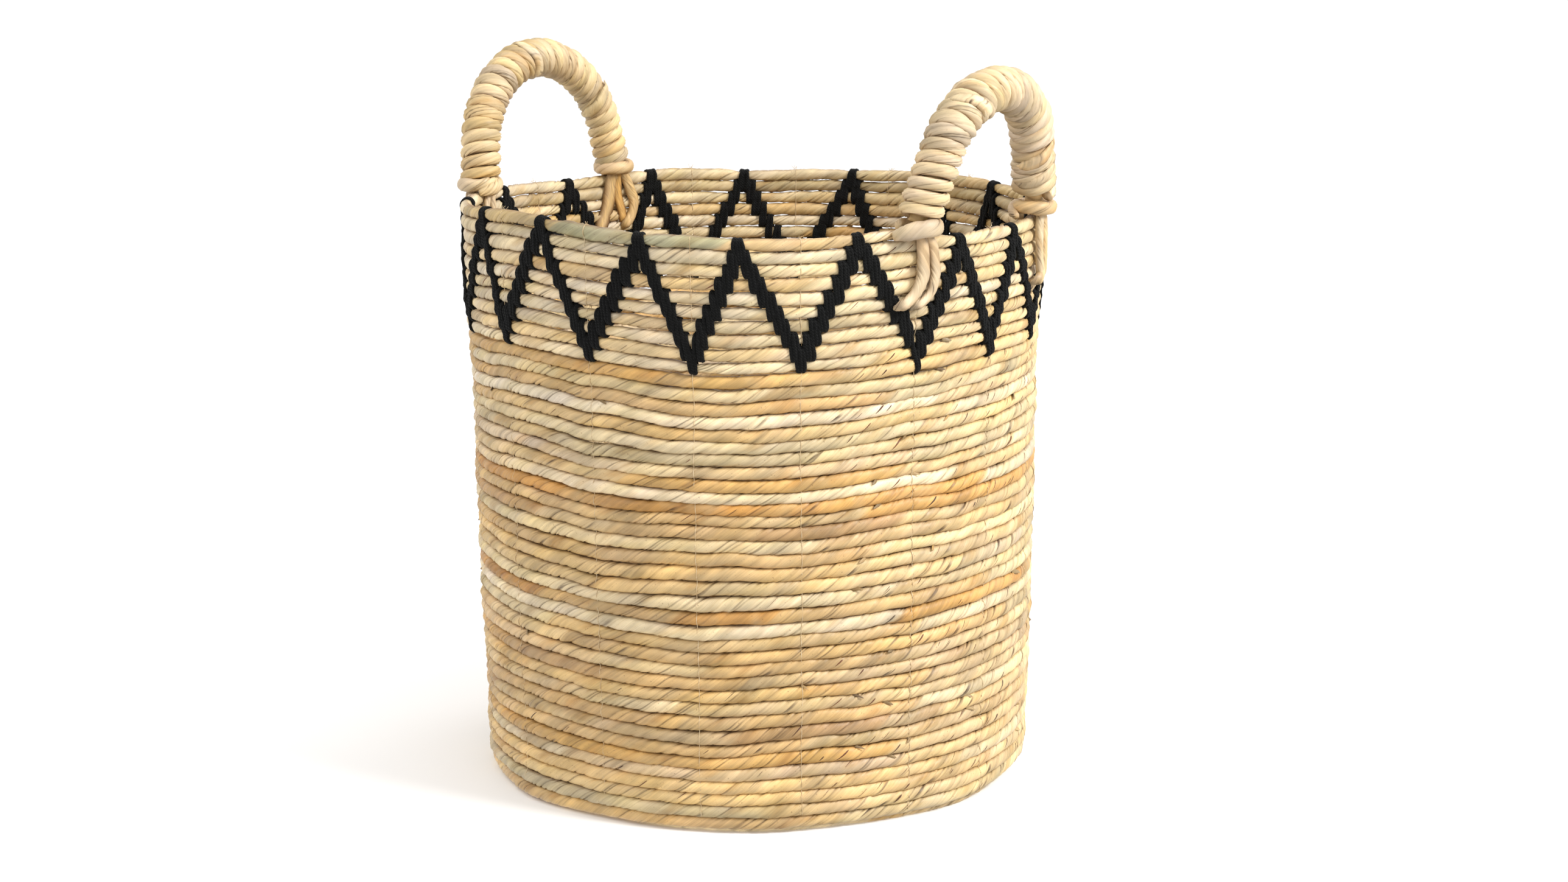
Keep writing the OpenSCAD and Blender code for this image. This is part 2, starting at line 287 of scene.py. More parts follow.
class Leaf:
    """The surface of a rope of twisted leaf: its bulges, creases, slits and colours, with shade
    painted into its creases, seams and slits and where its turns meet. Its grid runs in steps
    along the rope, and its lines across follow the twist. crease, strip and slit are the usual
    distances between those, and calm scales every height."""

    NARROWEST_CREASE, CREASE_SHAPE = 2.6, 3.0
    SHORTEST_STRIP, STRIP_SHAPE = 30.0, 2.6
    LIFTED_STEPS = 10           # the steps over which a strip's free edge sinks into the rope
    FIBRE_RADIUS = 4.2

    def __init__(self, length, step, around, twist_steps, seed, tones, calm=1.0,
                 crease=7.0, strip=110.0, slit=90.0, gap_shading=0.0, motley=0.3, stained=0.0,
                 often=None):
        self.rng = np.random.RandomState(seed)
        self.seed, self.step, self.around, self.twist_steps = seed, step, around, twist_steps
        self.gap_shading = gap_shading
        self.before = twist_steps + 2       # the grid's steps before the rope's start
        self.count = int(length / step) + 2 * self.before + 4
        self.q = (np.arange(self.count) - self.before) * step
        self.theta = np.arange(around) * FULL_TURN / around
        self.grid_q, grid_theta = np.meshgrid(self.q, self.theta, indexing="ij")
        self.turn = grid_theta / FULL_TURN
        self.fade = np.clip(0.62 + 0.75 * self.mottle(9, 4, 1), 0, 1)
        notch = self.make_creases(crease)
        tone, seam = self.make_strips(strip, tones, motley)
        self.make_colours(tone, stained)
        # Painted shade: the rope is darkened in its creases, along the seams under the strips' lifted
        # edges and in its slits.
        painted_shade = np.clip(notch * 1.25, 0, 0.6)[:, None] * self.fade**2
        painted_shade = np.maximum(painted_shade, seam[:, None] * np.clip(self.fade * 1.4 - 0.3, 0, 1))
        self.make_slits(slit, often, painted_shade)
        self.colour = self.colour * (1 - painted_shade[..., None]) + CREASE_AND_SLIT_SHADE * painted_shade[..., None]
        self.height, self.colour = self.height * calm, np.clip(self.colour, 0.004, 0.95)

    def mottle(self, size, turns, seed, shear=0):
        """Noise over the surface, its patches so long and so many round the rope."""
        return noise2(self.grid_q / size + self.turn * shear, self.turn * turns, self.seed + seed,
                      wrap_y=turns)

    def stretches(self, least, shape, usual):
        """Cuts the rope into stretches of random width: first and last step, and width."""
        edge = 0.0
        while edge < self.q[-1] - self.q[0]:
            width = max(least, self.rng.gamma(shape, usual / shape))
            yield int(edge / self.step), int((edge + width) / self.step), width
            edge += width

    def make_creases(self, crease):
        """Sets the height of the bulges, and gives how deep the crease before each is."""
        bulge, notch = np.zeros(self.count), np.zeros(self.count)
        for i0, i1, width in self.stretches(self.NARROWEST_CREASE, self.CREASE_SHAPE, crease):
            i1 = min(i1, self.count - 1)
            if i1 > i0:
                t = np.arange(i0, i1) - i0
                t = t / (i1 - i0)
                high = self.rng.uniform(0.5, 1.5) * min(1.3, math.sqrt(width / 8))
                bulge[i0:i1] += 0.5 * high * ((4 * t * (1 - t)) ** 0.7 - 0.6)
                bulge[i0:i1] += self.rng.uniform(-0.4, 0.4) * (t - 0.5)
                notch[i0] = self.rng.uniform(0.1, 0.7) if self.rng.rand() < 0.6 else 0.05
        height = bulge[:, None] * (0.5 + 0.5 * self.fade) - notch[:, None] * self.fade
        height += 0.16 * self.mottle(5, 5, 2)
        height += 0.3 * self.mottle(26, 3, 3)
        height += 0.3 * self.mottle(9, 5, 14, shear=4)
        self.height = height + (0.25 * noise1(self.q / 13, self.seed + 15))[:, None]
        return notch

    def make_strips(self, strip, tones, motley):
        """Gives each strip its tone and the painted shade along its seam, and lifts its free edge."""
        rng = self.rng
        tone, seam = np.zeros((self.count, 3)), np.zeros(self.count)
        for i0, i1, _ in self.stretches(self.SHORTEST_STRIP, self.STRIP_SHAPE, strip):
            i1 = min(i1 + 1, self.count)
            shade = np.array(tones(self.q[min((i0 + i1) // 2, self.count - 1)]))
            if rng.rand() < motley:
                shade = shade * 0.5 + 0.5 * TONES[ODD_TONES[rng.randint(len(ODD_TONES))]]
            shade = shade * rng.uniform(0.92, 1.06)
            tone[i0:i1] = shade * (1 + rng.uniform(-0.03, 0.03) * np.array([1, 0, -2.2]))
            t = (np.arange(i0, min(i0 + self.LIFTED_STEPS, self.count)) - i0) / self.LIFTED_STEPS
            self.height[i0:i0 + len(t)] += (rng.uniform(0.1, 0.6) * (1 - t) ** 2)[:, None]
            seam[i0] = rng.uniform(0.1, 0.75)
        return tone, seam

    def make_colours(self, tone, stained):
        """Blurs the strips' tones, and lays streaks, patches, grey and stains over them."""
        blur = np.hanning(BLUR) / np.hanning(BLUR).sum()
        soft = np.stack([blurred(v, blur) for v in tone.T], 1)
        tone = 0.35 * tone + 0.65 * soft
        fine = 0.05 * self.rng.uniform(-1, 1, self.count) + 0.11 * noise1(self.q / 3.1, self.seed + 4)
        fine += 0.12 * noise1(self.q / 12.0, self.seed + 10) + 0.09 * noise1(self.q / 33.0, self.seed + 11)
        patch = self.mottle(21, 3, 5) + 0.7 * self.mottle(8, 4, 8) + 0.6 * self.mottle(3.6, 8, 13, shear=5)
        colour = tone[:, None, :] * (1 + fine[:, None] + 0.15 * patch)[..., None]
        hue = self.mottle(17, 2, 12)[..., None]
        colour = colour * (1 + hue * np.array([0.01, 0.0, -0.13]))
        greyed = 0.25 * np.clip(self.mottle(60, 2, 6) - 0.25, 0, 1)[..., None]
        colour = colour * (1 - greyed) + TONES["grey"] * greyed
        stain = np.clip(self.mottle(13, 3, 9) * 1.6 - 0.55 + stained, 0, 1)[..., None]
        self.colour = colour * (1 - stain * np.array([0.18, 0.28, 0.42]))

    def make_slits(self, slit, often, painted_shade):
        """Cuts open slits across the strips and paints shade into them."""
        rng = self.rng
        edge = rng.uniform(0, slit)
        while edge < self.q[-1] - self.q[0] - 3 * self.step:
            i = int(edge / self.step)
            here = often(self.q[i]) if often else 1.0
            middle, reach = rng.uniform(0, FULL_TURN), rng.uniform(0.45, 1.15) * (1.25 if here < 1 else 1)
            off = (self.theta - middle + math.pi) % FULL_TURN - math.pi
            gape = np.clip(1 - (off / reach) ** 2, 0, 1)
            blunt = gape * np.clip(0.5 + off / reach, 0, 1)
            deep = rng.uniform(0.6, 1.0)
            self.height[i] -= deep * gape
            self.height[i + 1] += 0.35 * deep * gape
            # Painted shade inside the slit.
            painted_shade[i] = np.maximum(painted_shade[i], deep * gape**0.5)
            painted_shade[i + 1] = np.maximum(painted_shade[i + 1], deep * blunt)
            edge += rng.gamma(2.0, slit / 2.0) * here

    def piece(self, name, path, finish, body, slot, replaces=(), start=0.0, end=None,
              seam_angle=math.pi, squareness=2.0, warp=None):
        """A closed length of the rope, from start to end along the path, as an object."""
        end = path.length if end is None else end
        step, around, twist = self.step, self.around, self.twist_steps
        i = np.arange(int(math.floor(start / step)) - twist - 1, int(math.ceil(end / step)) + 2)
        j = np.arange(around)
        s = (i[:, None] + j[None, :] * twist / around) * step
        low = (s <= start).sum(0) - 1
        high = len(i) - (s >= end).sum(0)
        s = np.clip(s, start, end)
        rows = np.clip(i + self.before, 0, len(self.q) - 1)
        angle = seam_angle + self.theta[None, :]
        c, d = np.cos(angle), np.sin(angle)
        centre, across, third, a, b = path.look_up(s)
        radius = oval(c, d, a, b, squareness) + self.height[rows] * np.clip(np.minimum(a, b) / 3.0, 0, 1)
        place = centre + (radius * c)[..., None] * across + (radius * d)[..., None] * third
        ends = read_off(np.array([start, end]), path.at, path.points)
        if warp is not None:
            place, ends = warp(place), warp(ends)
        colour = self.colour[rows]
        if self.gap_shading:
            # Painted shade, with some brown staining, darkens the rope where turns lie against each other.
            gap_shade_and_stain = np.clip((np.abs(d) - 0.8) / 0.2, 0, 1) ** 1.3 * self.gap_shading
            gap_shade_and_stain = (gap_shade_and_stain * (0.8 + 0.3 * noise1(s / 21, 71)))[..., None]
            colour = colour * (1 - gap_shade_and_stain) + GAP_SHADE_AND_STAIN * gap_shade_and_stain * 0.8

        def index(row, way):
            row = np.where(way == around, row + twist, row)
            way = way % around
            return np.clip(row, low[way], high[way]) * around + way

        arc = FULL_TURN / around * self.FIBRE_RADIUS

        def flat(row, way):
            return np.stack([(i[0] + row) * step, way * arc], 1)

        faces, uv = triangles(len(i) - 1, around, index, flat)
        whole = (faces != np.roll(faces, 1, 1)).all(1)
        shut = caps(low * around + j, high * around + j, len(i) * around)
        uv = np.vstack([uv[whole], np.zeros((len(shut), 3, 2))])
        verts = np.vstack([place.reshape(-1, 3), ends])
        colours = np.vstack([colour.reshape(-1, 3), colour[0, :1], colour[-1, :1]])
        used, faces = np.unique(np.vstack([faces[whole], shut]), return_inverse=True)
        return new_piece(name, (verts[used], faces.reshape(-1, 3), uv), finish, body, slot,
                         replaces, colours[used])


def oval(c, d, a, b, squareness):
    """The radius of a squarish oval of half sizes a and b, by a direction's cosine and sine."""
    return ((np.abs(c) / a) ** squareness + (np.abs(d) / b) ** squareness) ** (-1 / squareness)


# --- Materials ---

class Nodes:
    """Short ways to add nodes to the tree of a material or a world."""

    def __init__(self, tree):
        self.nodes, self.links = tree.nodes, tree.links

    def feed(self, socket, value):
        """Gives a socket a fixed value, or links another node's output to it."""
        if isinstance(value, bpy.types.NodeSocket):
            self.links.new(value, socket)
        else:
            socket.default_value = value

    def add(self, kind, **sockets):
        """A new node, its sockets fed by name."""
        made = self.nodes.new(kind)
        for name, value in sockets.items():
            self.feed(made.inputs[name.replace("_", " ")], value)
        return made

    def coordinate(self, name):
        return self.nodes.new("ShaderNodeTexCoord").outputs[name]

    def fibre(self):
        """The places along and round the rope that the mesh holds for its fibres."""
        made = self.nodes.new("ShaderNodeUVMap")
        made.uv_map = "fibre"
        return made.outputs["UV"]

    def noise(self, vector, scale, detail, rough):
        made = self.add("ShaderNodeTexNoise", Vector=vector, Scale=scale, Detail=detail, Roughness=rough)
        return made.outputs["Fac"]

    def drawn_out(self, vector, scale, detail, rough):
        """Noise that is finer one way than the other, by its patches per metre each way."""
        spread = self.add("ShaderNodeMapping", Vector=vector, Scale=scale)
        return self.noise(spread.outputs["Vector"], 1.0, detail, rough)

    def ranged(self, source, low, high, to_low, to_high):
        made = self.add("ShaderNodeMapRange", Value=source, From_Min=low, From_Max=high,
                        To_Min=to_low, To_Max=to_high)
        return made.outputs["Result"]

    def mixed(self, kind, amount, first, second):
        made = self.nodes.new("ShaderNodeMix")
        made.data_type = "RGBA"
        made.blend_type = kind
        for name, value in (("Factor", amount), ("A", first), ("B", second)):
            self.feed(next(x for x in made.inputs if x.name == name and x.enabled), value)
        return next(x for x in made.outputs if x.enabled)

    def ramp(self, amount, *stops):
        """A colour that runs between two stops, each an amount and a colour."""
        made = self.add("ShaderNodeValToRGB", Fac=amount)
        for element, (position, colour) in zip(made.color_ramp.elements, stops):
            element.position = position
            element.color = (*colour, 1)
        return made.outputs["Color"]

    def bump(self, height, strength, distance):
        made = self.add("ShaderNodeBump", Height=height, Strength=strength, Distance=distance)
        return made.outputs["Normal"]


def material(name, roughness, specular):
    mat = bpy.data.materials.new(name)
    mat.use_nodes = True
    look = Nodes(mat.node_tree)
    shader = look.nodes["Principled BSDF"]
    shader.inputs["Roughness"].default_value = roughness
    shader.inputs["Specular IOR Level"].default_value = specular
    return mat, look, shader


def leaf_material(name, streak=0.26, freckle=0.5, bump=0.4):
    """Dried twisted leaf: its tone comes from the mesh, and fine fibres run along the twist."""
    mat, look, shader = material(name, 0.55, 0.5)
    tone = look.nodes.new("ShaderNodeAttribute")
    tone.attribute_name = "tone"
    fibre, place = look.fibre(), look.coordinate("Object")
    fine = look.drawn_out(fibre, (1100, 60, 1), 3.0, 0.62)
    broad = look.drawn_out(fibre, (420, 38, 1), 2.0, 0.5)
    streaks = look.ranged(fine, 0.3, 0.7, 1 - streak * 0.62, 1 + streak * 0.38)
    grey = look.add("ShaderNodeCombineColor", Red=streaks, Green=streaks, Blue=streaks)
    colour = look.mixed("MULTIPLY", 1.0, tone.outputs["Color"], grey.outputs["Color"])
    warm = look.ranged(broad, 0.45, 0.75, 0.0, 0.4)
    colour = look.mixed("MULTIPLY", warm, colour, (0.91, 0.83, 0.69, 1))
    cloud = look.ranged(look.noise(place, 55.0, 2.0, 0.5), 0.5, 0.8, 0.0, 0.35)
    colour = look.mixed("MIX", cloud, colour, (*TONES["grey"], 1))
    speck = look.ranged(look.noise(place, 900.0, 1.0, 0.4), 0.70, 0.78, 0.0, freckle)
    colour = look.mixed("MIX", speck, colour, (*linear(92, 58, 34), 1))
    look.feed(shader.inputs["Base Color"], colour)
    look.feed(shader.inputs["Roughness"], look.ranged(broad, 0.35, 0.65, 0.64, 0.42))
    look.feed(shader.inputs["Normal"], look.bump(fine, bump, 0.0006))
    return mat


def yarn_material():
    """Matt black cotton yarn of many fine threads."""
    mat, look, shader = material("black cotton yarn", 0.95, 0.1)
    fibre = look.fibre()
    fine = look.drawn_out(fibre, (2200, 700, 1), 3.0, 0.6)
    shade = look.ramp(fine, (0.34, linear(5, 5, 5)), (0.74, linear(30, 30, 29)))
    fuzz = look.noise(look.coordinate("Object"), 1300.0, 2.0, 0.6)
    lint = look.ranged(fuzz, 0.66, 0.8, 0.0, 0.12)
    look.feed(shader.inputs["Base Color"], look.mixed("MIX", lint, shade, (*linear(92, 92, 94), 1)))
    shader.inputs["Sheen Weight"].default_value = 0.04
    shader.inputs["Sheen Roughness"].default_value = 0.5
    plies = look.add("ShaderNodeTexWave", Vector=fibre, Scale=170.0, Distortion=2.5, Detail=1.0)
    height = look.mixed("MIX", 0.4, plies.outputs["Color"], fine)
    look.feed(shader.inputs["Normal"], look.bump(height, 0.9, 0.0007))
    return mat


def thread_material():
    """Clear nylon thread, which looks like a fine pale line."""
    mat, look, shader = material("nylon thread", 0.3, 0.5)
    patch = look.noise(look.coordinate("Object"), 260.0, 2.0, 0.5)
    shade = look.ramp(patch, (0.3, linear(180, 150, 106)), (0.7, linear(214, 194, 158)))
    look.feed(shader.inputs["Base Color"], shade)
    return mat


leaf = leaf_material("dried leaf rope")
smooth_leaf = leaf_material("smooth leaf rope", streak=0.22, freckle=0.3, bump=0.3)
yarn = yarn_material()
nylon = thread_material()


# --- The coil: base, wall and open band, one rope from the middle of the base to the rim ---

END_ANGLE = 340.0           # the coil's rope ends at the rim under the right handle's front foot
LOWER_ROWS, MIDDLE_ROWS, UPPER_ROWS, BAND_ROWS = 16, 7, 10, 10
FIRST_UPPER_AMBER = LOWER_ROWS + 1 + MIDDLE_ROWS
FIRST_BAND = FIRST_UPPER_AMBER + 1 + UPPER_ROWS
ROWS = FIRST_BAND + BAND_ROWS
FOOT_RADIUS = 190.0
HEEL_INSET = 2.5
UNDERSIDE_FLAT = 0.8
TURN_SAMPLES = 625
STEP = 1.3                  # the length of the rope's mesh steps
SQUARENESS = 2.15           # of the rope's section: 2 is an ellipse
# Angles round the basket of the sewing lines, which are the zigzag's valleys, and of its peaks.
LINES = [0, 20, 38, 57, 75, 97, 119, 142, 160, 182, 204, 231, 253, 276, 297, 317, 340, 360]
PEAKS = [8, 29, 47.5, 66, 86, 106, 130.5, 151.5, 172.5, 194, 218, 245, 265.5, 287.5, 306, 328, 350.5]
# Angles between which the rim row is green, the band's rows whiter, all rows paler as painted
# light on the side the key lamp lights, and slits closer together.
GREEN_RIM, WHITE_BAND, PAINTED_LIGHT_WALL, SLIT_WALL = (205, 312), (190, 350), (-38, 40), (-42, 25)


def cad(name):
    low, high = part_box(name)
    return np.array(low) / MM, np.array(high) / MM


rim_low, rim_high = cad("rim_row")
band_r = (rim_high[2] - rim_low[2]) / 2
rim_z, rim_radius = (rim_low[2] + rim_high[2]) / 2, rim_high[0]
amber1_low, amber1_high = cad("amber_row_lower")
amber2_low, amber2_high = cad("amber_row_upper")
upper_low, upper_high = cad("upper_wall")
lower_pitch = (amber2_low[2] - amber1_high[2]) / MIDDLE_ROWS
upper_pitch = (upper_high[2] - upper_low[2]) / (UPPER_ROWS + 0.02)
band_pitch = (rim_z - (cad("band_row_10")[0][2] + band_r)) / (BAND_ROWS - 1)


def wall_radius(z):
    return FOOT_RADIUS + (rim_radius - FOOT_RADIUS) * z / rim_z


def by_part(lower, upper, band):
    """A value for each row from the heel to one over the rim, by its part of the wall."""
    return [lower] * FIRST_UPPER_AMBER + [upper] * (1 + UPPER_ROWS) + [band] * (BAND_ROWS + 1)


row_z = [lower_pitch / 2 + 0.15 - UNDERSIDE_FLAT]
row_z += [amber1_low[2] - (LOWER_ROWS - k - 0.5) * lower_pitch for k in range(1, LOWER_ROWS)]
row_z += [(amber1_low[2] + amber1_high[2]) / 2]
row_z += [amber1_high[2] + (k + 0.5) * lower_pitch for k in range(MIDDLE_ROWS)]
row_z += [(amber2_low[2] + amber2_high[2]) / 2]
row_z += [upper_low[2] + (k + 0.5) * upper_pitch for k in range(UPPER_ROWS)]
row_z += [rim_z - k * band_pitch for k in range(BAND_ROWS - 1, -2, -1)]
row_deep = by_part(lower_pitch / 2 + 0.15, upper_pitch / 2 + 0.15, band_r + 0.05)
row_high = by_part(lower_pitch / 2 + 0.1, upper_pitch / 2 + 0.1, band_r + 0.5)
row_r = [wall_radius(z) - deep for z, deep in zip(row_z, row_deep)]
row_r[0] -= HEEL_INSET
BASE_RINGS = round(row_r[0] / lower_pitch)
base_pitch = row_r[0] / BASE_RINGS
base_z = cad("base_coil")[1][2] - base_pitch / 2 - 0.15
# Every ring of the coil from the middle of the base: radius, height, half depth, half height.
rings = np.array([
    [base_pitch * k for k in range(BASE_RINGS)] + row_r,
    [base_z] * BASE_RINGS + row_z,
    [base_pitch / 2 + 0.12] * BASE_RINGS + row_deep,
    [base_pitch / 2 + 0.15] * BASE_RINGS + row_high,
])
# Samples of the coil by turns: 0 is where the heel row starts.
turns = np.arange(-BASE_RINGS + 0.85, ROWS + 1e-9, 1 / TURN_SAMPLES)
coil_angle = END_ANGLE + 360 * turns


def swell(angle, middle, width):
    off = (angle - middle + 180) % 360 - 180
    return np.exp(-((off / width) ** 2))


def swells(angle, *several):
    """The sum of several swells, each a height, a middle and a width."""
    return sum(high * swell(angle, middle, width) for high, middle, width in several)


def rim_wave(angle):
    """How far the hand-made rim stands over its true height, by angle round it."""
    return swells(angle, (3.0, 80, 26), (6.2, 256, 24), (-3.0, 318, 17), (-2.6, 170, 15))


def heel_wave(angle):
    """How far the heel stands out of its true circle."""
    return swells(angle, (5.5, 354, 11), (3.5, 256, 9), (2.2, 308, 12), (-1.5, 273, 8),
                  (-1.5, 327, 8), (2.0, 120, 30))


def wander(place, seed, broad, waves, rows, fine, ripples):
    """How far the coil wanders: broad waves round the basket and up its rows, and fine ripples."""
    return (broad * noise2(coil_angle / 360 * waves, place / rows, seed, wrap_x=waves)
            + fine * noise1(turns * ripples, seed + 1))


def pushed_up(uneven):
    """How far the uneven turns under it push each turn up."""
    pushed = np.zeros(len(turns))
    for k in range(TURN_SAMPLES, len(turns), TURN_SAMPLES):
        here = slice(k, min(k + TURN_SAMPLES, len(turns)))
        before = slice(k - TURN_SAMPLES, here.stop - TURN_SAMPLES)
        pushed[here] = 0.8 * pushed[before] + lower_pitch * (uneven[here] + uneven[before]) / 2
    return pushed


def pinched(thick):
    """The rope's thickness, less where the yarn's stitches draw it in."""
    from_top = ROWS - 0.5 - turns
    for peak, *valleys in zip(PEAKS, LINES, LINES[1:]):
        for valley in valleys:
            leg = peak + (valley - peak) * np.clip(from_top - 0.5, 0, BAND_ROWS) / (BAND_ROWS - 2)
            pinch = swell(coil_angle, leg, 2.1) * (np.abs(from_top - 4.3) < 5.2)
            thick = thick * (1 - 0.19 * pinch)
    return thick


def shaped_coil():
    """The coil's radius, height, half depth and half height at each of its samples."""
    place = turns - 0.5
    r, z, deep, high = (np.interp(place, np.arange(-BASE_RINGS, ROWS + 1), v) for v in rings)
    loose = np.clip((place - 0.5) / 4, 0, 1)
    in_band = np.clip((place - FIRST_BAND + 1) / 2, 0, 1)
    z = z + rim_wave(coil_angle) * np.clip(z / rim_z, 0, 1) ** 1.6
    # The rows of the wall sag on one side, but not near the floor or the rim.
    sag = 3.2 * swell(coil_angle, 296, 36) * np.clip(z / 50, 0, 1)
    z = z - sag * np.clip((372 - z) / 50, 0, 1)
    uneven = 0.13 * noise1(turns * 17, 15) + 0.05 * noise1(turns * 60, 16)
    z = z + loose * (1 - 0.5 * in_band) * pushed_up(uneven)
    z = z + loose * wander(place, 11, 0.9, 12, 4.0, 0.2, 19)
    r = r + loose * wander(place, 13, 0.8, 11, 2.6, 0.3, 15)
    r = r - 1.6 * np.exp(-(((z - 268) / 58) ** 2))
    near_heel = np.exp(-np.clip(place, 0, 9) / 1.4)
    r = r + heel_wave(coil_angle) * near_heel * np.clip((place + 6) / 6, 0, 1)
    thick = pinched(1 + uneven)
    last_turn = np.clip((ROWS - turns) / 0.03, 0.25, 1) ** 0.5
    first_turn = np.clip((turns - turns[0]) / 0.4, 0.5, 1)
    deep = deep * thick * last_turn * first_turn
    high = high * (1 + (thick - 1) * (0.5 + 0.5 * in_band)) * last_turn
    return r, z, deep, high


coil_shape = shaped_coil()
coil_r, coil_z, coil_deep, coil_high = coil_shape
radians = np.radians(coil_angle)
outward = np.stack([np.cos(radians), np.sin(radians), 0 * radians], 1)
coil = Path(outward * coil_r[:, None] + np.array([0, 0, 1.0]) * coil_z[:, None], outward,
            coil_deep, coil_high)


def length_at(turn):
    return float(np.interp(turn, turns, coil.at))


def turn_at(length):
    """How many turns up the coil a length along it lies, and at what angle round the basket."""
    turn = float(np.interp(length, coil.at, turns))
    return turn, (END_ANGLE + 360 * turn) % 360


def between(angle, low, high):
    """Whether an angle of 0 to 360 lies between two, of which the first may be under 0."""
    return low < angle < high or low < angle - 360 < high


def row_tone(length):
    """The colour of the coil's rope at a length along it."""
    turn, around = turn_at(length)
    if turn < 0:
        return TONES[BASE_TONES[int(length / BASE_TONE_LENGTH) % len(BASE_TONES)]]
    from_top = ROWS - 1 - min(ROWS - 1, int(turn))
    tone = ROW_TONES[from_top]
    if from_top == 0 and between(around, *GREEN_RIM):
        tone = "green"
    shade = TONES[tone]
    # Painted light: the rows are paler on the side that the key lamp lights.
    if between(around, *PAINTED_LIGHT_WALL):
        shade = 0.55 * shade + 0.45 * TONES["golden" if tone == "amber" else "cream"]
    if from_top < BAND_ROWS and tone != "green" and between(around, *WHITE_BAND):
        shade = 0.6 * shade + 0.4 * TONES["white"]
    return shade


def slits_apart(length):
    """The spacing of slits as a share of the usual one: most are on the right of the wall."""
    turn, around = turn_at(length)
    return 0.3 if between(around, *SLIT_WALL) and 0 < turn < FIRST_BAND + 3 else 1.3


def on_floor(p):
    """Nothing of the coil reaches under the floor: the lowest rows lie flat on it."""
    return np.concatenate([p[..., :2], np.maximum(p[..., 2:3], 0.0)], -1)


coil_leaf = Leaf(coil.length, STEP, around=16, twist_steps=26, seed=101, tones=row_tone,
                 gap_shading=0.8, often=slits_apart)
groups = [
    ("base_spiral", "base_coil", "leaf_rope", [(turns[0], -10), (-10, -4), (-4, 0)]),
    ("lower_wall_rope", "lower_wall", "leaf_rope", [(0, 5), (5, 10), (10, 16)]),
    ("lower_amber_rope", "amber_row_lower", "amber_rope", [(16, 17)]),
    ("middle_wall_rope", "middle_wall", "leaf_rope", [(17, 20), (20, 24)]),
    ("upper_amber_rope", "amber_row_upper", "amber_rope", [(24, 25)]),
    ("upper_wall_rope", "upper_wall", "leaf_rope", [(25, 30), (30, 35)]),
]
groups += [(f"band_rope_{n}", f"band_row_{n}", "band_rope", [(ROWS - n, ROWS - n + 1)])
           for n in range(BAND_ROWS, 1, -1)]
groups += [("rim_rope", "rim_row", "band_rope", [(ROWS - 1, ROWS)])]
for name, cad_node, slot, spans in groups:
    for k, (start, end) in enumerate(spans):
        label = name if len(spans) == 1 else f"{name}_{k + 1}"
        # The mesh's seam is kept out of sight: on the base's inner side, and under each row.
        coil_leaf.piece(label, coil, leaf, "root", slot, (cad_node,), length_at(start), length_at(end),
                        seam_angle=math.pi if name == "base_spiral" else -math.pi / 2,
                        squareness=SQUARENESS, warp=on_floor)


def row_at(row, angle):
    """Centre radius and height, and half depth and half height, of a row (0 is the heel) at
    an angle."""
    turn = row + ((angle - END_ANGLE) % 360) / 360
    turn = np.minimum(turn, turns[-1])
    return tuple(np.interp(turn, turns, v) for v in coil_shape)


def at_angle(angle, r, z, tangent=0.0):
    """Points at an angle round the basket, moved sideways by tangent."""
    a = np.radians(angle)
    r, z, tangent = np.broadcast_arrays(r, z, tangent)
    return np.stack([r * np.cos(a) - tangent * np.sin(a), r * np.sin(a) + tangent * np.cos(a), z], -1)


# --- Loose ends of leaf ---

rng = np.random.RandomState(17)
SLIT_MARKS = 260
STRIP_THICK = 0.24          # half the thickness of a loose strip
MARK_THICK = 0.16
TWIST_LEAD = coil_leaf.twist_steps * STEP / FULL_TURN      # along the rope per radian round it


def loose_end(angle, row, long, wide, curl, rise):
    """A strip's end that has sprung out of the groove over a row and curls off the wall."""
    r, z, a, b = row_at(row, angle)
    t = np.linspace(0, 1, 9)
    way = rng.choice([-1, 1])
    points = at_angle(angle, r + a * 0.55 + (a * 0.55 + curl) * t**1.3 - curl * 0.8 * t**6,
                      z + b + rise * t - 0.25 * long * t**2, way * long * t)
    points = smooth_line(points, 0.8)
    t = np.linspace(0, 1, len(points))
    flat_side = unit(points * np.array([1, 1, 0])) + np.array([0, 0, 0.6]) * t[:, None]
    share = np.sqrt(np.clip(1.02 - t, 0.03, 1)) * np.clip(0.6 + 2 * t, 0, 1)
    return tube(points, flat_side, STRIP_THICK * share, wide * share, 8)


def slit_mark(turn, middle, reach, wide):
    """A slit between two strips of the coil, along the twist, about a place on its side, painted dark as
    the shade inside it.
    """
    s = length_at(turn)
    t = np.linspace(-1, 1, 11)
    theta = middle + reach * t
    i = int(round((s - TWIST_LEAD * middle) / STEP)) + coil_leaf.before
    high = np.interp(theta % FULL_TURN, np.append(coil_leaf.theta, FULL_TURN),
                     np.append(coil_leaf.height[i], coil_leaf.height[i, 0]))
    at = s + TWIST_LEAD * reach * t
    centre, across, third, a, b = coil.look_up(at)
    c, d = np.cos(theta - math.pi / 2), np.sin(theta - math.pi / 2)
    radius = oval(c, d, a, b, SQUARENESS) + high + 0.02
    out = c[:, None] * across + d[:, None] * third
    share = np.sqrt(np.clip(1 - np.abs(t) ** 2.5, 0.02, 1)) * (1 + 0.5 * t)
    return tube(centre + radius[:, None] * out, out, MARK_THICK * share, wide * share, 8)


def rope_scraps(name, finish, parts, shades):
    """Many small shapes as one piece of the coil's rope, each with its own colour."""
    colours = [np.tile(shade, (len(verts), 1)) for (verts, faces, uv), shade in zip(parts, shades)]
    new_piece(name, joined(parts), finish, "root", "leaf_rope", colour=np.vstack(colours))


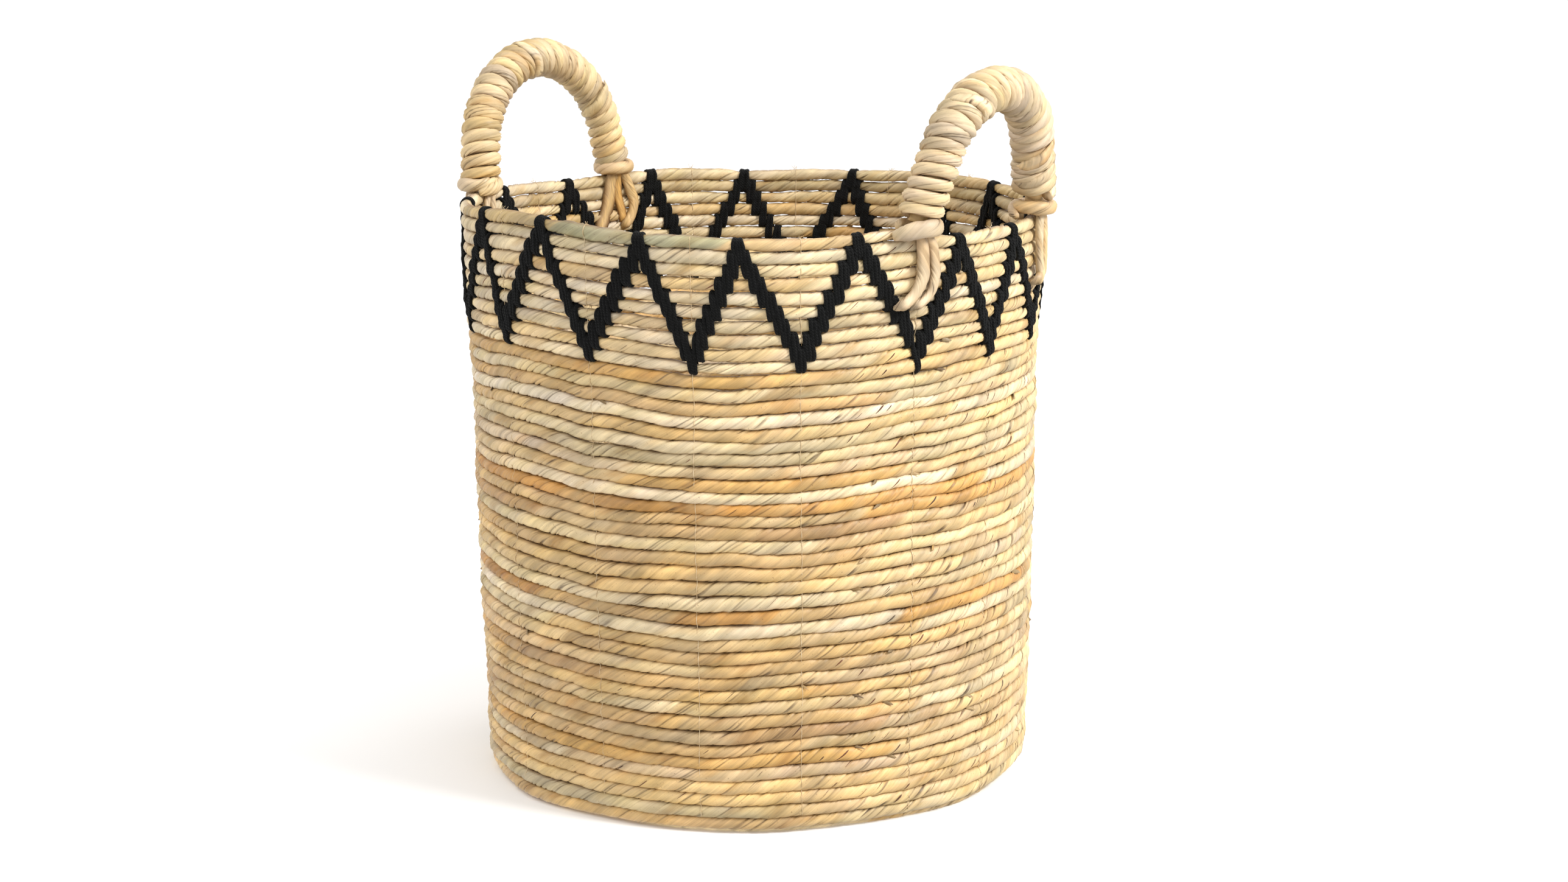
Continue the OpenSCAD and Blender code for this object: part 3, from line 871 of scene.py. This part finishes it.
parts, shades = [], []
for k in range(SLIT_MARKS):
    right = rng.rand() < 0.55
    around = rng.uniform(-40, 30) if right else rng.uniform(30, 320)
    row = rng.randint(1, ROWS - 1)
    turn = row + ((around - END_ANGLE) % 360) / 360
    # 90 degrees round the rope's section from its underside is its outer side.
    parts.append(slit_mark(turn, math.pi / 2 + rng.uniform(-0.6, 0.6), rng.uniform(0.3, 0.9),
                           0.1 + 0.3 * rng.rand() ** 2 * (1.3 if right else 1)))
    # Painted shade: each slit mark is coloured as the shade inside it.
    shades.append(SLIT_MARK_SHADE * rng.uniform(0.3, 1.8))
rope_scraps("strip_gaps", smooth_leaf, parts, shades)

parts, shades = [], []
places = [(rng.uniform(-36, 20), rng.uniform(2, FIRST_BAND)) for k in range(22)]
places += [(rng.uniform(-36, 12), rng.uniform(FIRST_BAND, ROWS - 3)) for k in range(5)]
places += [(rng.uniform(20, 324), rng.uniform(2, ROWS - 3)) for k in range(34)]
for angle, row in places:
    parts.append(loose_end(angle % 360, int(row), rng.uniform(3, 8), rng.uniform(1.0, 2.2),
                           rng.uniform(0.4, 1.8), rng.uniform(-1.0, 1.5)))
    tone = TONES[("brown", "straw", "golden", "tan")[rng.randint(4)]]
    shades.append(tone * rng.uniform(0.25, 0.75))
rope_scraps("loose_ends", leaf, parts, shades)


# --- Black yarn ---

PEAK_WIDTH = 8.8
STITCH_WIDTH = 7.0
STRAND_WIDTH = 2.1
STRAND_THICK = 1.12         # half the thickness of a strand
YARN_STANDOFF = 1.15
SLANT = -1.8                # every stitch leans the same way, for the yarn goes on in one spiral
rng = np.random.RandomState(5)


def stitch_loop(row, angle):
    """One strand of yarn round a row and the one under it: radius, height, and how far up the
    stitch from -0.5 to 0.5."""
    out = []
    for held, first in ((row, -20), (row - 1, 160)):
        r, z, a, b = row_at(held, angle)
        for turn in range(first, first + 221, 22):
            c, s = math.cos(math.radians(turn)), math.sin(math.radians(turn))
            out.append((r + (a + YARN_STANDOFF) * c, z + (b + YARN_STANDOFF * 0.8) * s))
    r, z = np.array(out).T
    share = (z - z.mean()) / max(1.0, np.ptp(z))
    return smooth_line(np.stack([r, z, share], 1), 1.25, closed=True)[:-1]


def stitch(row, middle, width):
    """The strands of one stitch, given the angle of its middle and its width."""
    count = max(3, int(round(width / STRAND_WIDTH)))
    width = width * rng.uniform(0.93, 1.08)
    spacing = width / count
    slant = SLANT + rng.uniform(-0.6, 0.6)
    parts = []
    for k in range(count):
        off = ((k + 0.5) / count - 0.5) * (width - 0.5)
        angle = middle + math.degrees(off / rim_radius)
        r, z, share = stitch_loop(row, angle).T
        at = np.arange(len(r))
        side = (slant + rng.uniform(-0.7, 0.7)) * share - 0.3 * off * np.abs(2 * share) ** 3
        side = side + 0.3 * noise1(at / 9.0, rng.randint(1000))
        inner = np.clip((r.mean() - r) / np.ptp(r) * 3, 0, 1)
        side = side - 0.17 * off * inner
        wobble = 0.14 * noise1(at / 6.0, rng.randint(1000))
        proud = wobble + rng.uniform(-0.1, 0.35) - 0.8 * (abs(k - (count - 1) / 2) / count)
        base = np.radians(angle)
        sideways = np.array([-math.sin(base), math.cos(base), 0])
        points = at_angle(angle, r + proud, z, side + wobble)
        across = points - points.mean(0)
        across = across - np.outer(across @ sideways, sideways)
        fat = rng.uniform(0.94, 1.08)
        parts.append(tube(points, across, STRAND_THICK * fat, spacing * 0.6 * fat, 8, twist=1.1,
                          closed=True))
    return parts


def zigzag(peak, left, right):
    """The stitches from a peak down both legs, and the one at the valley on the right."""
    legs = BAND_ROWS - 3
    parts = stitch(ROWS - 1, peak, PEAK_WIDTH)
    for k in range(1, legs + 1):
        for valley in (left, right):
            middle = peak + (valley - peak) * k / (legs + 1) + rng.uniform(-0.22, 0.22)
            parts += stitch(ROWS - 1 - k, middle, STITCH_WIDTH)
    return parts + stitch(ROWS - 2 - legs, right, STITCH_WIDTH)


for i, peak in enumerate(PEAKS):
    new_piece(f"yarn_zigzag_{i + 1}", joined(zigzag(peak, LINES[i], LINES[i + 1])), yarn, "root",
              "black_yarn", (f"yarn_peak_{i + 1}",))


# --- Nylon sewing thread ---

LOWEST_SEWN_ROW = 1
THREAD_LIFT = 0.12
THREAD_R = 0.21
HAIR_R = 0.13
HAIRS_PER_KNOT = 5


def wall_profile(angle, side):
    """Points up the wall's surface at an angle, into the groove between rows and over each."""
    out = []
    for row in range(LOWEST_SEWN_ROW, ROWS):
        r, z, a, b = row_at(row, angle)
        for turn in (-52, -18, 18, 52):
            t = math.radians(turn)
            out.append((r + side * (a + THREAD_LIFT) * math.cos(t) ** 0.8, z + b * math.sin(t)))
    return np.array(out + [(r, z + (b + THREAD_LIFT))])


def sewing_line(line, seed):
    """The thread up the outside of the wall at an angle, over the rim and down the inside."""
    drift = rng.uniform(-0.5, 0.5)
    outside, inside = (wall_profile(line + 0.05, side) for side in (1, -1))
    route = np.vstack([outside, inside[:-1][::-1]])
    walk = drift + 0.55 * noise1(np.arange(len(route)) / 9.0, seed)
    points = smooth_line(at_angle(line, route[:, 0], route[:, 1], walk), 1.6)
    sideways = np.array([-math.sin(math.radians(line)), math.cos(math.radians(line)), 0])
    across = np.cross(np.gradient(points, axis=0), sideways)
    return tube(points, across, THREAD_R, THREAD_R, 6)


def thread_end(line):
    """A free end of thread that sticks out of the knot at the rim."""
    r, z, a, b = row_at(ROWS - 1, line)
    knot = np.array([r + rng.uniform(-1.5, 2.5), z + b + 0.1, rng.uniform(-1.2, 1.2)])
    way = np.array([rng.uniform(-1, 1), rng.uniform(0.5, 1.4), rng.uniform(-1.4, 1.4)])
    bend = rng.uniform(-1, 1, 3)
    length = rng.uniform(0.8, 2.0)
    hair = np.array([knot + way * length * t + bend * t * t * 1.2 for t in (0, 0.35, 0.7, 1)])
    points = smooth_line(at_angle(line, *hair.T), 0.8)
    return tube(points, np.tile([0.3, 0.5, 0.8], (len(points), 1)), HAIR_R, HAIR_R, 5)


parts = []
for n, line in enumerate(LINES[:-1]):
    parts.append(sewing_line(line, 300 + n))
    parts += [thread_end(line) for k in range(HAIRS_PER_KNOT)]
new_piece("sewing_lines", joined(parts), nylon, "root", "nylon_thread", ("sewing_thread",))


# --- Handles ---

CORE_R = 6.0
WRAP_R = 3.95
TURN = 8.1                  # the wrap's usual turn, measured along the core
LEG_START = -12             # how far along its leg the core's line starts
STAKE_START = 9.0
STRIP_DEEP = 1.3


def towards_middle(line):
    """The directions from a handle's line to the middle of its arch."""
    ahead = np.gradient(line, axis=0)
    return (np.stack([0 * ahead[:, 0], -ahead[:, 2], ahead[:, 1]], 1)
            / np.linalg.norm(ahead, axis=1)[:, None])


class Handle:
    """The line of a handle's core, in the handle's own frame, and the ropes round it. The
    line stands on two legs, foot_angle to each side of the angle that the handle is turned
    to, and leans out. rise is the height of its top, arch the radius of its round part, and
    drop how much further down it starts."""

    def __init__(self, side, turned, foot_angle, rise, arch, lean, drop):
        self.side, self.body = side, f"handle_{side}"
        centre_r = rim_radius - band_r
        half = centre_r * math.sin(math.radians(foot_angle))
        hinge_x = centre_r * math.cos(math.radians(foot_angle))
        self.matrix = np.array(Matrix.Rotation(math.radians(turned), 4, "Z")
                               @ Matrix.Translation((hinge_x, 0, rim_z))
                               @ Matrix.Rotation(math.radians(lean), 4, "Y"))
        foot_z = band_r + 0.9 + CORE_R
        reach = math.hypot(half, foot_z - (rise - arch))
        tilt = math.atan2(foot_z - (rise - arch), half) + math.acos(arch / reach)
        length = math.sqrt(reach**2 - arch**2)
        leg = [(0, half - t * math.sin(tilt), foot_z + t * math.cos(tilt))
               for t in np.arange(LEG_START - drop, length, 1.0)]
        top = [(0, arch * math.cos(a), rise - arch + arch * math.sin(a))
               for a in np.linspace(tilt, math.pi - tilt, int(arch * (math.pi - 2 * tilt)))]
        self.line = np.array(leg + top + [(x, -y, z) for x, y, z in leg[::-1]])

    def path(self, points, across, a, b):
        """A path in the basket's frame from one in the handle's."""
        turn, move = self.matrix[:3, :3], self.matrix[:3, 3]
        return Path(points @ turn.T + move, across @ turn.T, a, b)

    def wrap(self, starts_z, seed, tones, thick, stained):
        """The helix of rope round the core, from collar to collar. It starts at a height on
        each leg, and is thicker by the amounts given on the first leg and on the second."""
        line = self.line
        line = line[line[:, 2] > np.where(line[:, 1] > 0, *starts_z)]
        at = lengths(line)
        bend = np.gradient(np.unwrap(np.arctan2(*np.gradient(line, axis=0)[:, [2, 1]].T)), at)
        bend = blurred(bend, np.ones(BLUR) / BLUR)
        fine = np.arange(0, at[-1], 0.05)
        second = unit(read_off(fine, at, towards_middle(line)))
        first = np.tile([1.0, 0, 0], (len(fine), 1))
        uneven = 0.5 * noise1(fine / 23.0, seed + 7)
        count = round(at[-1] / TURN)
        thick = np.interp(fine / at[-1], (0.45, 0.75), thick)
        psi = -FULL_TURN * (fine / at[-1] * count) + uneven
        out = np.cos(psi)[:, None] * first + np.sin(psi)[:, None] * second
        squeeze = 1 - np.interp(fine, at, bend) * (second * out).sum(1) * (CORE_R + WRAP_R)
        radius = CORE_R + WRAP_R - 0.1 + thick + 0.35 * noise1(fine / 17.0, seed + 8)
        slope = 1.3 * (noise1(fine / 26.0, seed + 12) * np.cos(psi)
                       + noise1(fine / 26.0, seed + 13) * np.sin(psi))
        slope = slope * np.clip(np.minimum(fine, at[-1] - fine) / 16, 0, 1)
        points = (read_off(fine, at, line) + out * radius[:, None]
                  + np.cross(first, second) * slope[:, None])
        deep = WRAP_R + 0.1 + thick + 0.25 * noise1(fine / 9.0, seed + 10)
        wide = at[-1] / count / 2 * squeeze * (1 + 0.07 * noise1(fine / 11.0, seed + 9)) + 0.05
        path = self.path(points, out, deep, wide)
        skin = Leaf(path.length, 1.3, around=14, twist_steps=46, seed=seed, tones=tones, crease=9.0,
                    slit=75.0, gap_shading=0.8, motley=0.1, stained=stained)
        self.piece("wrapping", skin, path, "wrap")

    def stake(self, seed):
        """The bundle of straight leaf inside the wrap."""
        line = self.line[self.line[:, 2] > STAKE_START]
        path = self.path(line, np.tile([1.0, 0, 0], (len(line), 1)), CORE_R - 0.1, CORE_R - 0.1)
        skin = Leaf(path.length, 1.6, around=14, twist_steps=4, seed=seed, tones=pale(["straw", "tan"]),
                    crease=5.0, strip=200.0)
        self.piece("stake", skin, path, "core")

    def crossing(self, number, seed, tone, half_wide, stops):
        """A loose strip of leaf that lies across the turns, by stops: the share of the line's
        length, hundreds of degrees round it, and how far it lifts off the wrap."""
        stops = smooth_line(stops, 1.0)
        at = lengths(self.line)
        place = stops[:, 0] * at[-1]
        psi = np.radians(stops[:, 1] * 100)
        second = read_off(place, at, towards_middle(self.line))
        out = np.cos(psi)[:, None] * np.array([1.0, 0, 0]) + np.sin(psi)[:, None] * second
        radius = CORE_R + 2 * WRAP_R + 0.4 + stops[:, 2]
        points = smooth_line(read_off(place, at, self.line) + out * radius[:, None], 0.8)
        t = np.linspace(0, 1, len(points))
        out = read_off(t, np.linspace(0, 1, len(out)), out)
        share = np.clip(np.minimum(t, 1 - t) / 0.22, 0.35, 1)
        path = self.path(points, out, STRIP_DEEP * share, half_wide * share)
        skin = Leaf(path.length, 0.9, around=12, twist_steps=10, seed=seed, tones=pale([tone]),
                    crease=5.0, strip=50.0, slit=30.0, stained=0.12)
        self.piece(f"strip_{number}", skin, path, "wrap")

    def piece(self, name, skin, path, cad_part):
        skin.piece(f"{self.body}_{name}", path, smooth_leaf, self.body, "handle_rope",
                   (f"{self.body}_{cad_part}",))


handle_right = Handle("right", 0, 20, 91, 55, 10, 2.0)
handle_left = Handle("left", 182, 22, 95, 70, 7, 0.0)
right_tones = pale(["blanched", "pink", "blanched", "blanched", "pink"])
left_tones = pale(["straw", "cream", "straw", "pink", "cream"])
handle_right.wrap((15.5, 11.5), 401, right_tones, (0.5, 0.5), 0.04)
handle_left.wrap((15.0, 13.5), 431, left_tones, (0.2, -0.5), 0.0)
handle_right.stake(461)
handle_left.stake(471)
for handle, number, seed, tone, half_wide, stops in (
    (handle_right, 1, 481, "pink", 4.2,
     [(0.235, -0.5, -0.8), (0.215, 0.0, 0.3), (0.19, 0.5, 0.4), (0.17, 1.1, -0.8)]),
    (handle_right, 2, 483, "pink", 3.8,
     [(0.175, -0.4, -0.8), (0.15, 0.1, 0.4), (0.13, 0.7, 0.3), (0.12, 1.2, -0.8)]),
    (handle_right, 3, 485, "blanched", 4.4,
     [(0.66, -1.2, -0.8), (0.645, -0.7, 0.5), (0.62, -0.1, 0.4), (0.60, 0.5, -0.8)]),
    (handle_left, 1, 487, "cream", 4.0,
     [(0.79, 0.6, -0.8), (0.775, 1.1, 0.4), (0.75, 1.7, 0.4), (0.735, 2.2, -0.8)]),
    (handle_left, 2, 489, "cream", 4.4,
     [(0.47, 1.0, -0.8), (0.455, 1.6, 0.5), (0.44, 2.3, 0.4), (0.435, 2.8, -0.8)]),
):
    handle.crossing(number, seed, tone, half_wide, stops)


# --- Collars and ties at the feet ---

FEET = {"right_front": -20, "right_back": 20, "left_back": 160, "left_front": 204}
PALE = pale(["pink", "blanched", "cream", "pink"])
STAINED = pale(["tan", "pink", "cream"])
BROWNED = pale(["tan", "pink"])
AMBER = pale(["golden", "amber"])
COLLAR_DEEP = 3.9
OUTSIDE_TIES = 2            # the first ties of a foot run down outside the wall
# For a tie outside the wall, and for one inside it: its way out from the rim, how its first
# and last places are scaled sideways, how far out and further down the last lies, its seed.
OUTSIDE = (1, 0.6, 1.1, 1.5, 3.5, 600)
INSIDE = (-1, 0.7, 1.05, -2.0, 4.0, 700)


def foot_points(angle, local):
    """Points near a foot: (sideways, outward, up) from the middle of the rim row at an angle."""
    local = np.asarray(local, float)
    r, z, a, b = row_at(ROWS - 1, angle)
    return at_angle(angle, r + local[:, 1], z + local[:, 2], local[:, 0])


def strap(name, points, flat_side, half_wide, half_deep, seed, tones, replaces, ends, calm, gap_shading):
    """A length of leaf rope along a curve, thinner at its ends, with its flat side given."""
    line = smooth_line(points, 0.8)
    t = np.linspace(0, 1, len(line))
    share = [end + (1 - end) * np.clip(off / 0.12, 0, 1) for end, off in zip(ends, (t, 1 - t))]
    share = np.minimum(*share)
    rough = 1 + 0.09 * noise1(t * len(line) / 11.0, seed + 20)
    path = Path(line, flat_side(line), half_deep * share * rough, half_wide * share * rough)
    skin = Leaf(path.length, 1.1, around=16, twist_steps=30, seed=seed, tones=tones, crease=6.0,
                strip=60.0, slit=50.0, calm=calm, motley=0.15, gap_shading=gap_shading)
    return skin.piece(name, path, smooth_leaf, None, "handle_rope", replaces, squareness=2.1)


def bridged(piece, side, foot):
    """Bakes the piece's place into its mesh."""
    r, z, a, b = row_at(ROWS - 1, foot)
    x, y = (float(v) for v in at_angle(foot, r, z)[:2])
    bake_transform(piece)


def collar(corner, half_wide, seed, tones, knots):
    """The turn of rope that ends a leg's wrap. Its first knots lie on the rim."""
    side, foot = corner.split("_")[0], FEET[corner]
    centre = foot_points(foot, [(0, 1.5, 8)])[0]

    def away(line):
        """The flat side faces away from the foot's axis."""
        return unit((line - centre) * np.array([1, 1, 0.2]))

    piece = strap(f"collar_{corner}", foot_points(foot, knots), away, half_wide, COLLAR_DEEP, seed, tones,
                  (f"handle_{side}_collars",), (0.5, 0.6), 1.0, 0.3)
    bridged(piece, side, foot)


def tie_strand(corner, number, sideways, half_wide, half_deep, tones):
    """A strand from the collar over the rim and down the wall to where it passes under a band
    row, by its places (sideways, up)."""
    name, side, foot = f"tie_{corner}_{number}", corner.split("_")[0], FEET[corner]
    settings = OUTSIDE if number <= OUTSIDE_TIES else INSIDE
    way, top_share, end_share, end_out, end_down, seed = settings
    (top, _), (end, end_up) = sideways[0], sideways[-1]
    knots = [(top * top_share, way * out, up) for out, up in ((5.5, 9.5), (6.8, 5.0))]
    knots += [(t, way * (4.3 + half_deep), up - 1) for t, up in sideways]
    knots += [(end * end_share, end_out, end_up - end_down)]

    def outwards(line):
        return unit(line * np.array([1, 1, 0]))

    piece = strap(name, foot_points(foot, knots), outwards, half_wide, half_deep,
                  seed + 10 * len(name) + foot % 97, tones, (f"tie_{corner}",), (0.8, 0.55), 0.8,
                  0.9 if half_deep < 2 else 0.4)
    bridged(piece, side, foot)


collar("right_front", 5.5, 501, PALE,
       [(-18, 2.5, 6.8), (-13.5, 8.5, 9.2), (-5, 12.8, 11.2), (4, 13.8, 11.6), (11.5, 8.5, 11.4),
        (13.5, 0, 11.2), (9, -7.5, 11), (0, -10, 11.2), (-8.5, -6.5, 12)])
collar("right_back", 4.5, 511, STAINED,
       [(-17, -6, 5.2), (-12, -9.5, 7.2), (-3, -10.8, 9), (7, -8.5, 9.8), (13, 0, 10.2), (10, 8.5, 10),
        (1, 13.2, 9.6), (-9, 9.8, 9.8), (-12.5, 1, 10.8), (-8, -7, 11.6), (1, -9, 12.2)])
collar("left_front", 4.6, 521, PALE,
       [(16, -4, 5.0), (12, -9.5, 6.6), (3, -11.5, 8.6), (-7, -9.0, 10), (-12.5, 0, 10.8), (-9, 9, 10.8),
        (0, 13, 10.2), (9, 9, 9.8), (12.5, 0, 10), (8, -9, 10.8), (-1, -10.5, 12)])
collar("left_back", 4.4, 531, PALE,
       [(-10, 5, 8.0), (-4.5, 10.2, 8.6), (4, 10.8, 9), (10, 4.5, 9.4), (10, -3.5, 9.8), (4.5, -9, 9.8),
        (-4.5, -9.8, 9.8), (-10, -4, 10.2), (-9.5, 4.5, 10.8), (-3, 9, 12)])

for corner, number, wide, deep, tones, sideways in (
    ("right_front", 1, 4.2, 2.9, PALE, [(1, 0), (1.5, -8), (1, -18), (-2.5, -26), (-8, -32), (-15, -36)]),
    ("right_front", 2, 3.4, 2.7, PALE, [(9, 0), (10, -8), (10.5, -18), (8.5, -27), (3.5, -33), (-4, -37)]),
    ("right_back", 1, 4.0, 3.0, STAINED, [(3, 0), (4.5, -9), (5, -19), (3, -28), (-2, -34), (-9, -37)]),
    ("right_back", 2, 3.6, 2.7, PALE, [(-6, 0), (-6, -9), (-5, -19), (-4, -28), (-3, -34), (-5, -38)]),
    ("left_front", 1, 3.8, 2.8, PALE, [(-4, 0), (-4.5, -9), (-4, -19), (-3, -28), (-1, -36)]),
    ("left_front", 2, 3.6, 2.8, PALE, [(5, 0), (5.5, -9), (5, -19), (4, -28), (2, -36)]),
    ("left_back", 1, 3.8, 2.8, PALE, [(-5, 0), (-5, -9), (-4, -19), (-3, -28), (-1, -36)]),
    ("left_back", 2, 3.6, 2.8, STAINED, [(4, 0), (5, -9), (5, -19), (4, -28), (2, -36)]),
    ("right_front", 3, 4.0, 2.6, PALE, [(-3, 0), (-4, -9), (-3, -19), (-2, -28), (0, -36)]),
    ("right_back", 3, 4.0, 2.6, PALE, [(-3, 0), (-5, -9), (-4, -19), (-2, -28), (0, -36)]),
    ("left_front", 3, 4.2, 2.4, PALE, [(-2, 0), (-3, -9), (-3, -19), (-2, -28), (0, -36)]),
    ("left_front", 4, 3.6, 2.4, PALE, [(8, 0), (11, -7), (12, -15), (9, -24), (4, -32)]),
    ("left_back", 3, 5.6, 1.3, BROWNED, [(5, 1), (6.5, -8), (8.5, -17), (12, -26), (16, -35)]),
    ("left_back", 4, 3.6, 1.3, AMBER, [(0, 1), (0.5, -8), (-1, -15), (-3, -22), (-4, -28)]),
    ("left_back", 5, 3.8, 2.2, BROWNED, [(-7, 1), (-10, -7), (-13, -15), (-11, -25), (-5, -33)]),
):
    tie_strand(corner, number, sideways, wide, deep, tones)


# --- Studio ---

FLOOR_SIZE = 30.0


def studio():
    """A plain pale floor that throws no light back, and a white world."""
    floor = bpy.data.meshes.new("floor")
    corners = [(x * FLOOR_SIZE, y * FLOOR_SIZE, 0) for x, y in ((-1, -1), (1, -1), (1, 1), (-1, 1))]
    floor.from_pydata(corners, [], [(0, 1, 2, 3)])
    floor_object = bpy.data.objects.new("floor", floor)
    bpy.context.scene.collection.objects.link(floor_object)
    mat, look, shader = material("pale floor", 0.9, 0.1)
    shader.inputs["Base Color"].default_value = (0.93, 0.93, 0.93, 1)
    floor.materials.append(mat)
    floor_object.visible_diffuse = False
    floor_object.visible_glossy = False
    world = bpy.data.worlds.new("studio")
    bpy.context.scene.world = world
    world.use_nodes = True
    look = Nodes(world.node_tree)
    background = look.nodes["Background"]
    background.inputs["Color"].default_value = (1, 1, 1, 1)
    height = look.add("ShaderNodeSeparateXYZ", Vector=look.coordinate("Generated"))
    look.feed(background.inputs["Strength"], look.ranged(height.outputs["Z"], -0.02, 0.0, 1.0, 1.16))


def lamp(name, location, target, size, power):
    light = bpy.data.lights.new(name, "AREA")
    light.shape = "DISK"
    light.size = size
    light.energy = power
    made = bpy.data.objects.new(name, light)
    made.location = location
    made.rotation_euler = (Vector(target) - Vector(location)).to_track_quat("-Z", "Y").to_euler()
    bpy.context.scene.collection.objects.link(made)


def camera():
    around, down, roll = math.radians(-51.5), 0.2056, -0.0094
    distance, height = 2.0, 0.6396
    x, y = math.cos(around), math.sin(around)
    forward = Vector((-x * math.cos(down), -y * math.cos(down), -math.sin(down)))
    right = Vector((-y, x, 0))
    up = right.cross(forward)
    turned_right = right * math.cos(roll) + up * math.sin(roll)
    turned_up = up * math.cos(roll) - right * math.sin(roll)
    data = bpy.data.cameras.new("camera")
    data.sensor_width = 36
    data.lens = 67.05
    data.shift_x = 0.0186
    data.clip_end = 100
    made = bpy.data.objects.new("camera", data)
    matrix = Matrix((turned_right, turned_up, -forward)).transposed().to_4x4()
    matrix.translation = Vector((distance * x, distance * y, height))
    made.matrix_world = matrix
    bpy.context.scene.collection.objects.link(made)
    bpy.context.scene.camera = made


studio()
camera()
lamp("key", (2.1, 0.35, 1.8), (0, 0, 0.2), 0.9, 66)
lamp("fill", (-0.6, -2.4, 1.8), (0, 0, 0.25), 1.6, 6)
lamp("back", (0.3, 2.2, 1.9), (0, 0, 0.35), 1.4, 10)
bpy.context.scene.view_settings.view_transform = "Standard"
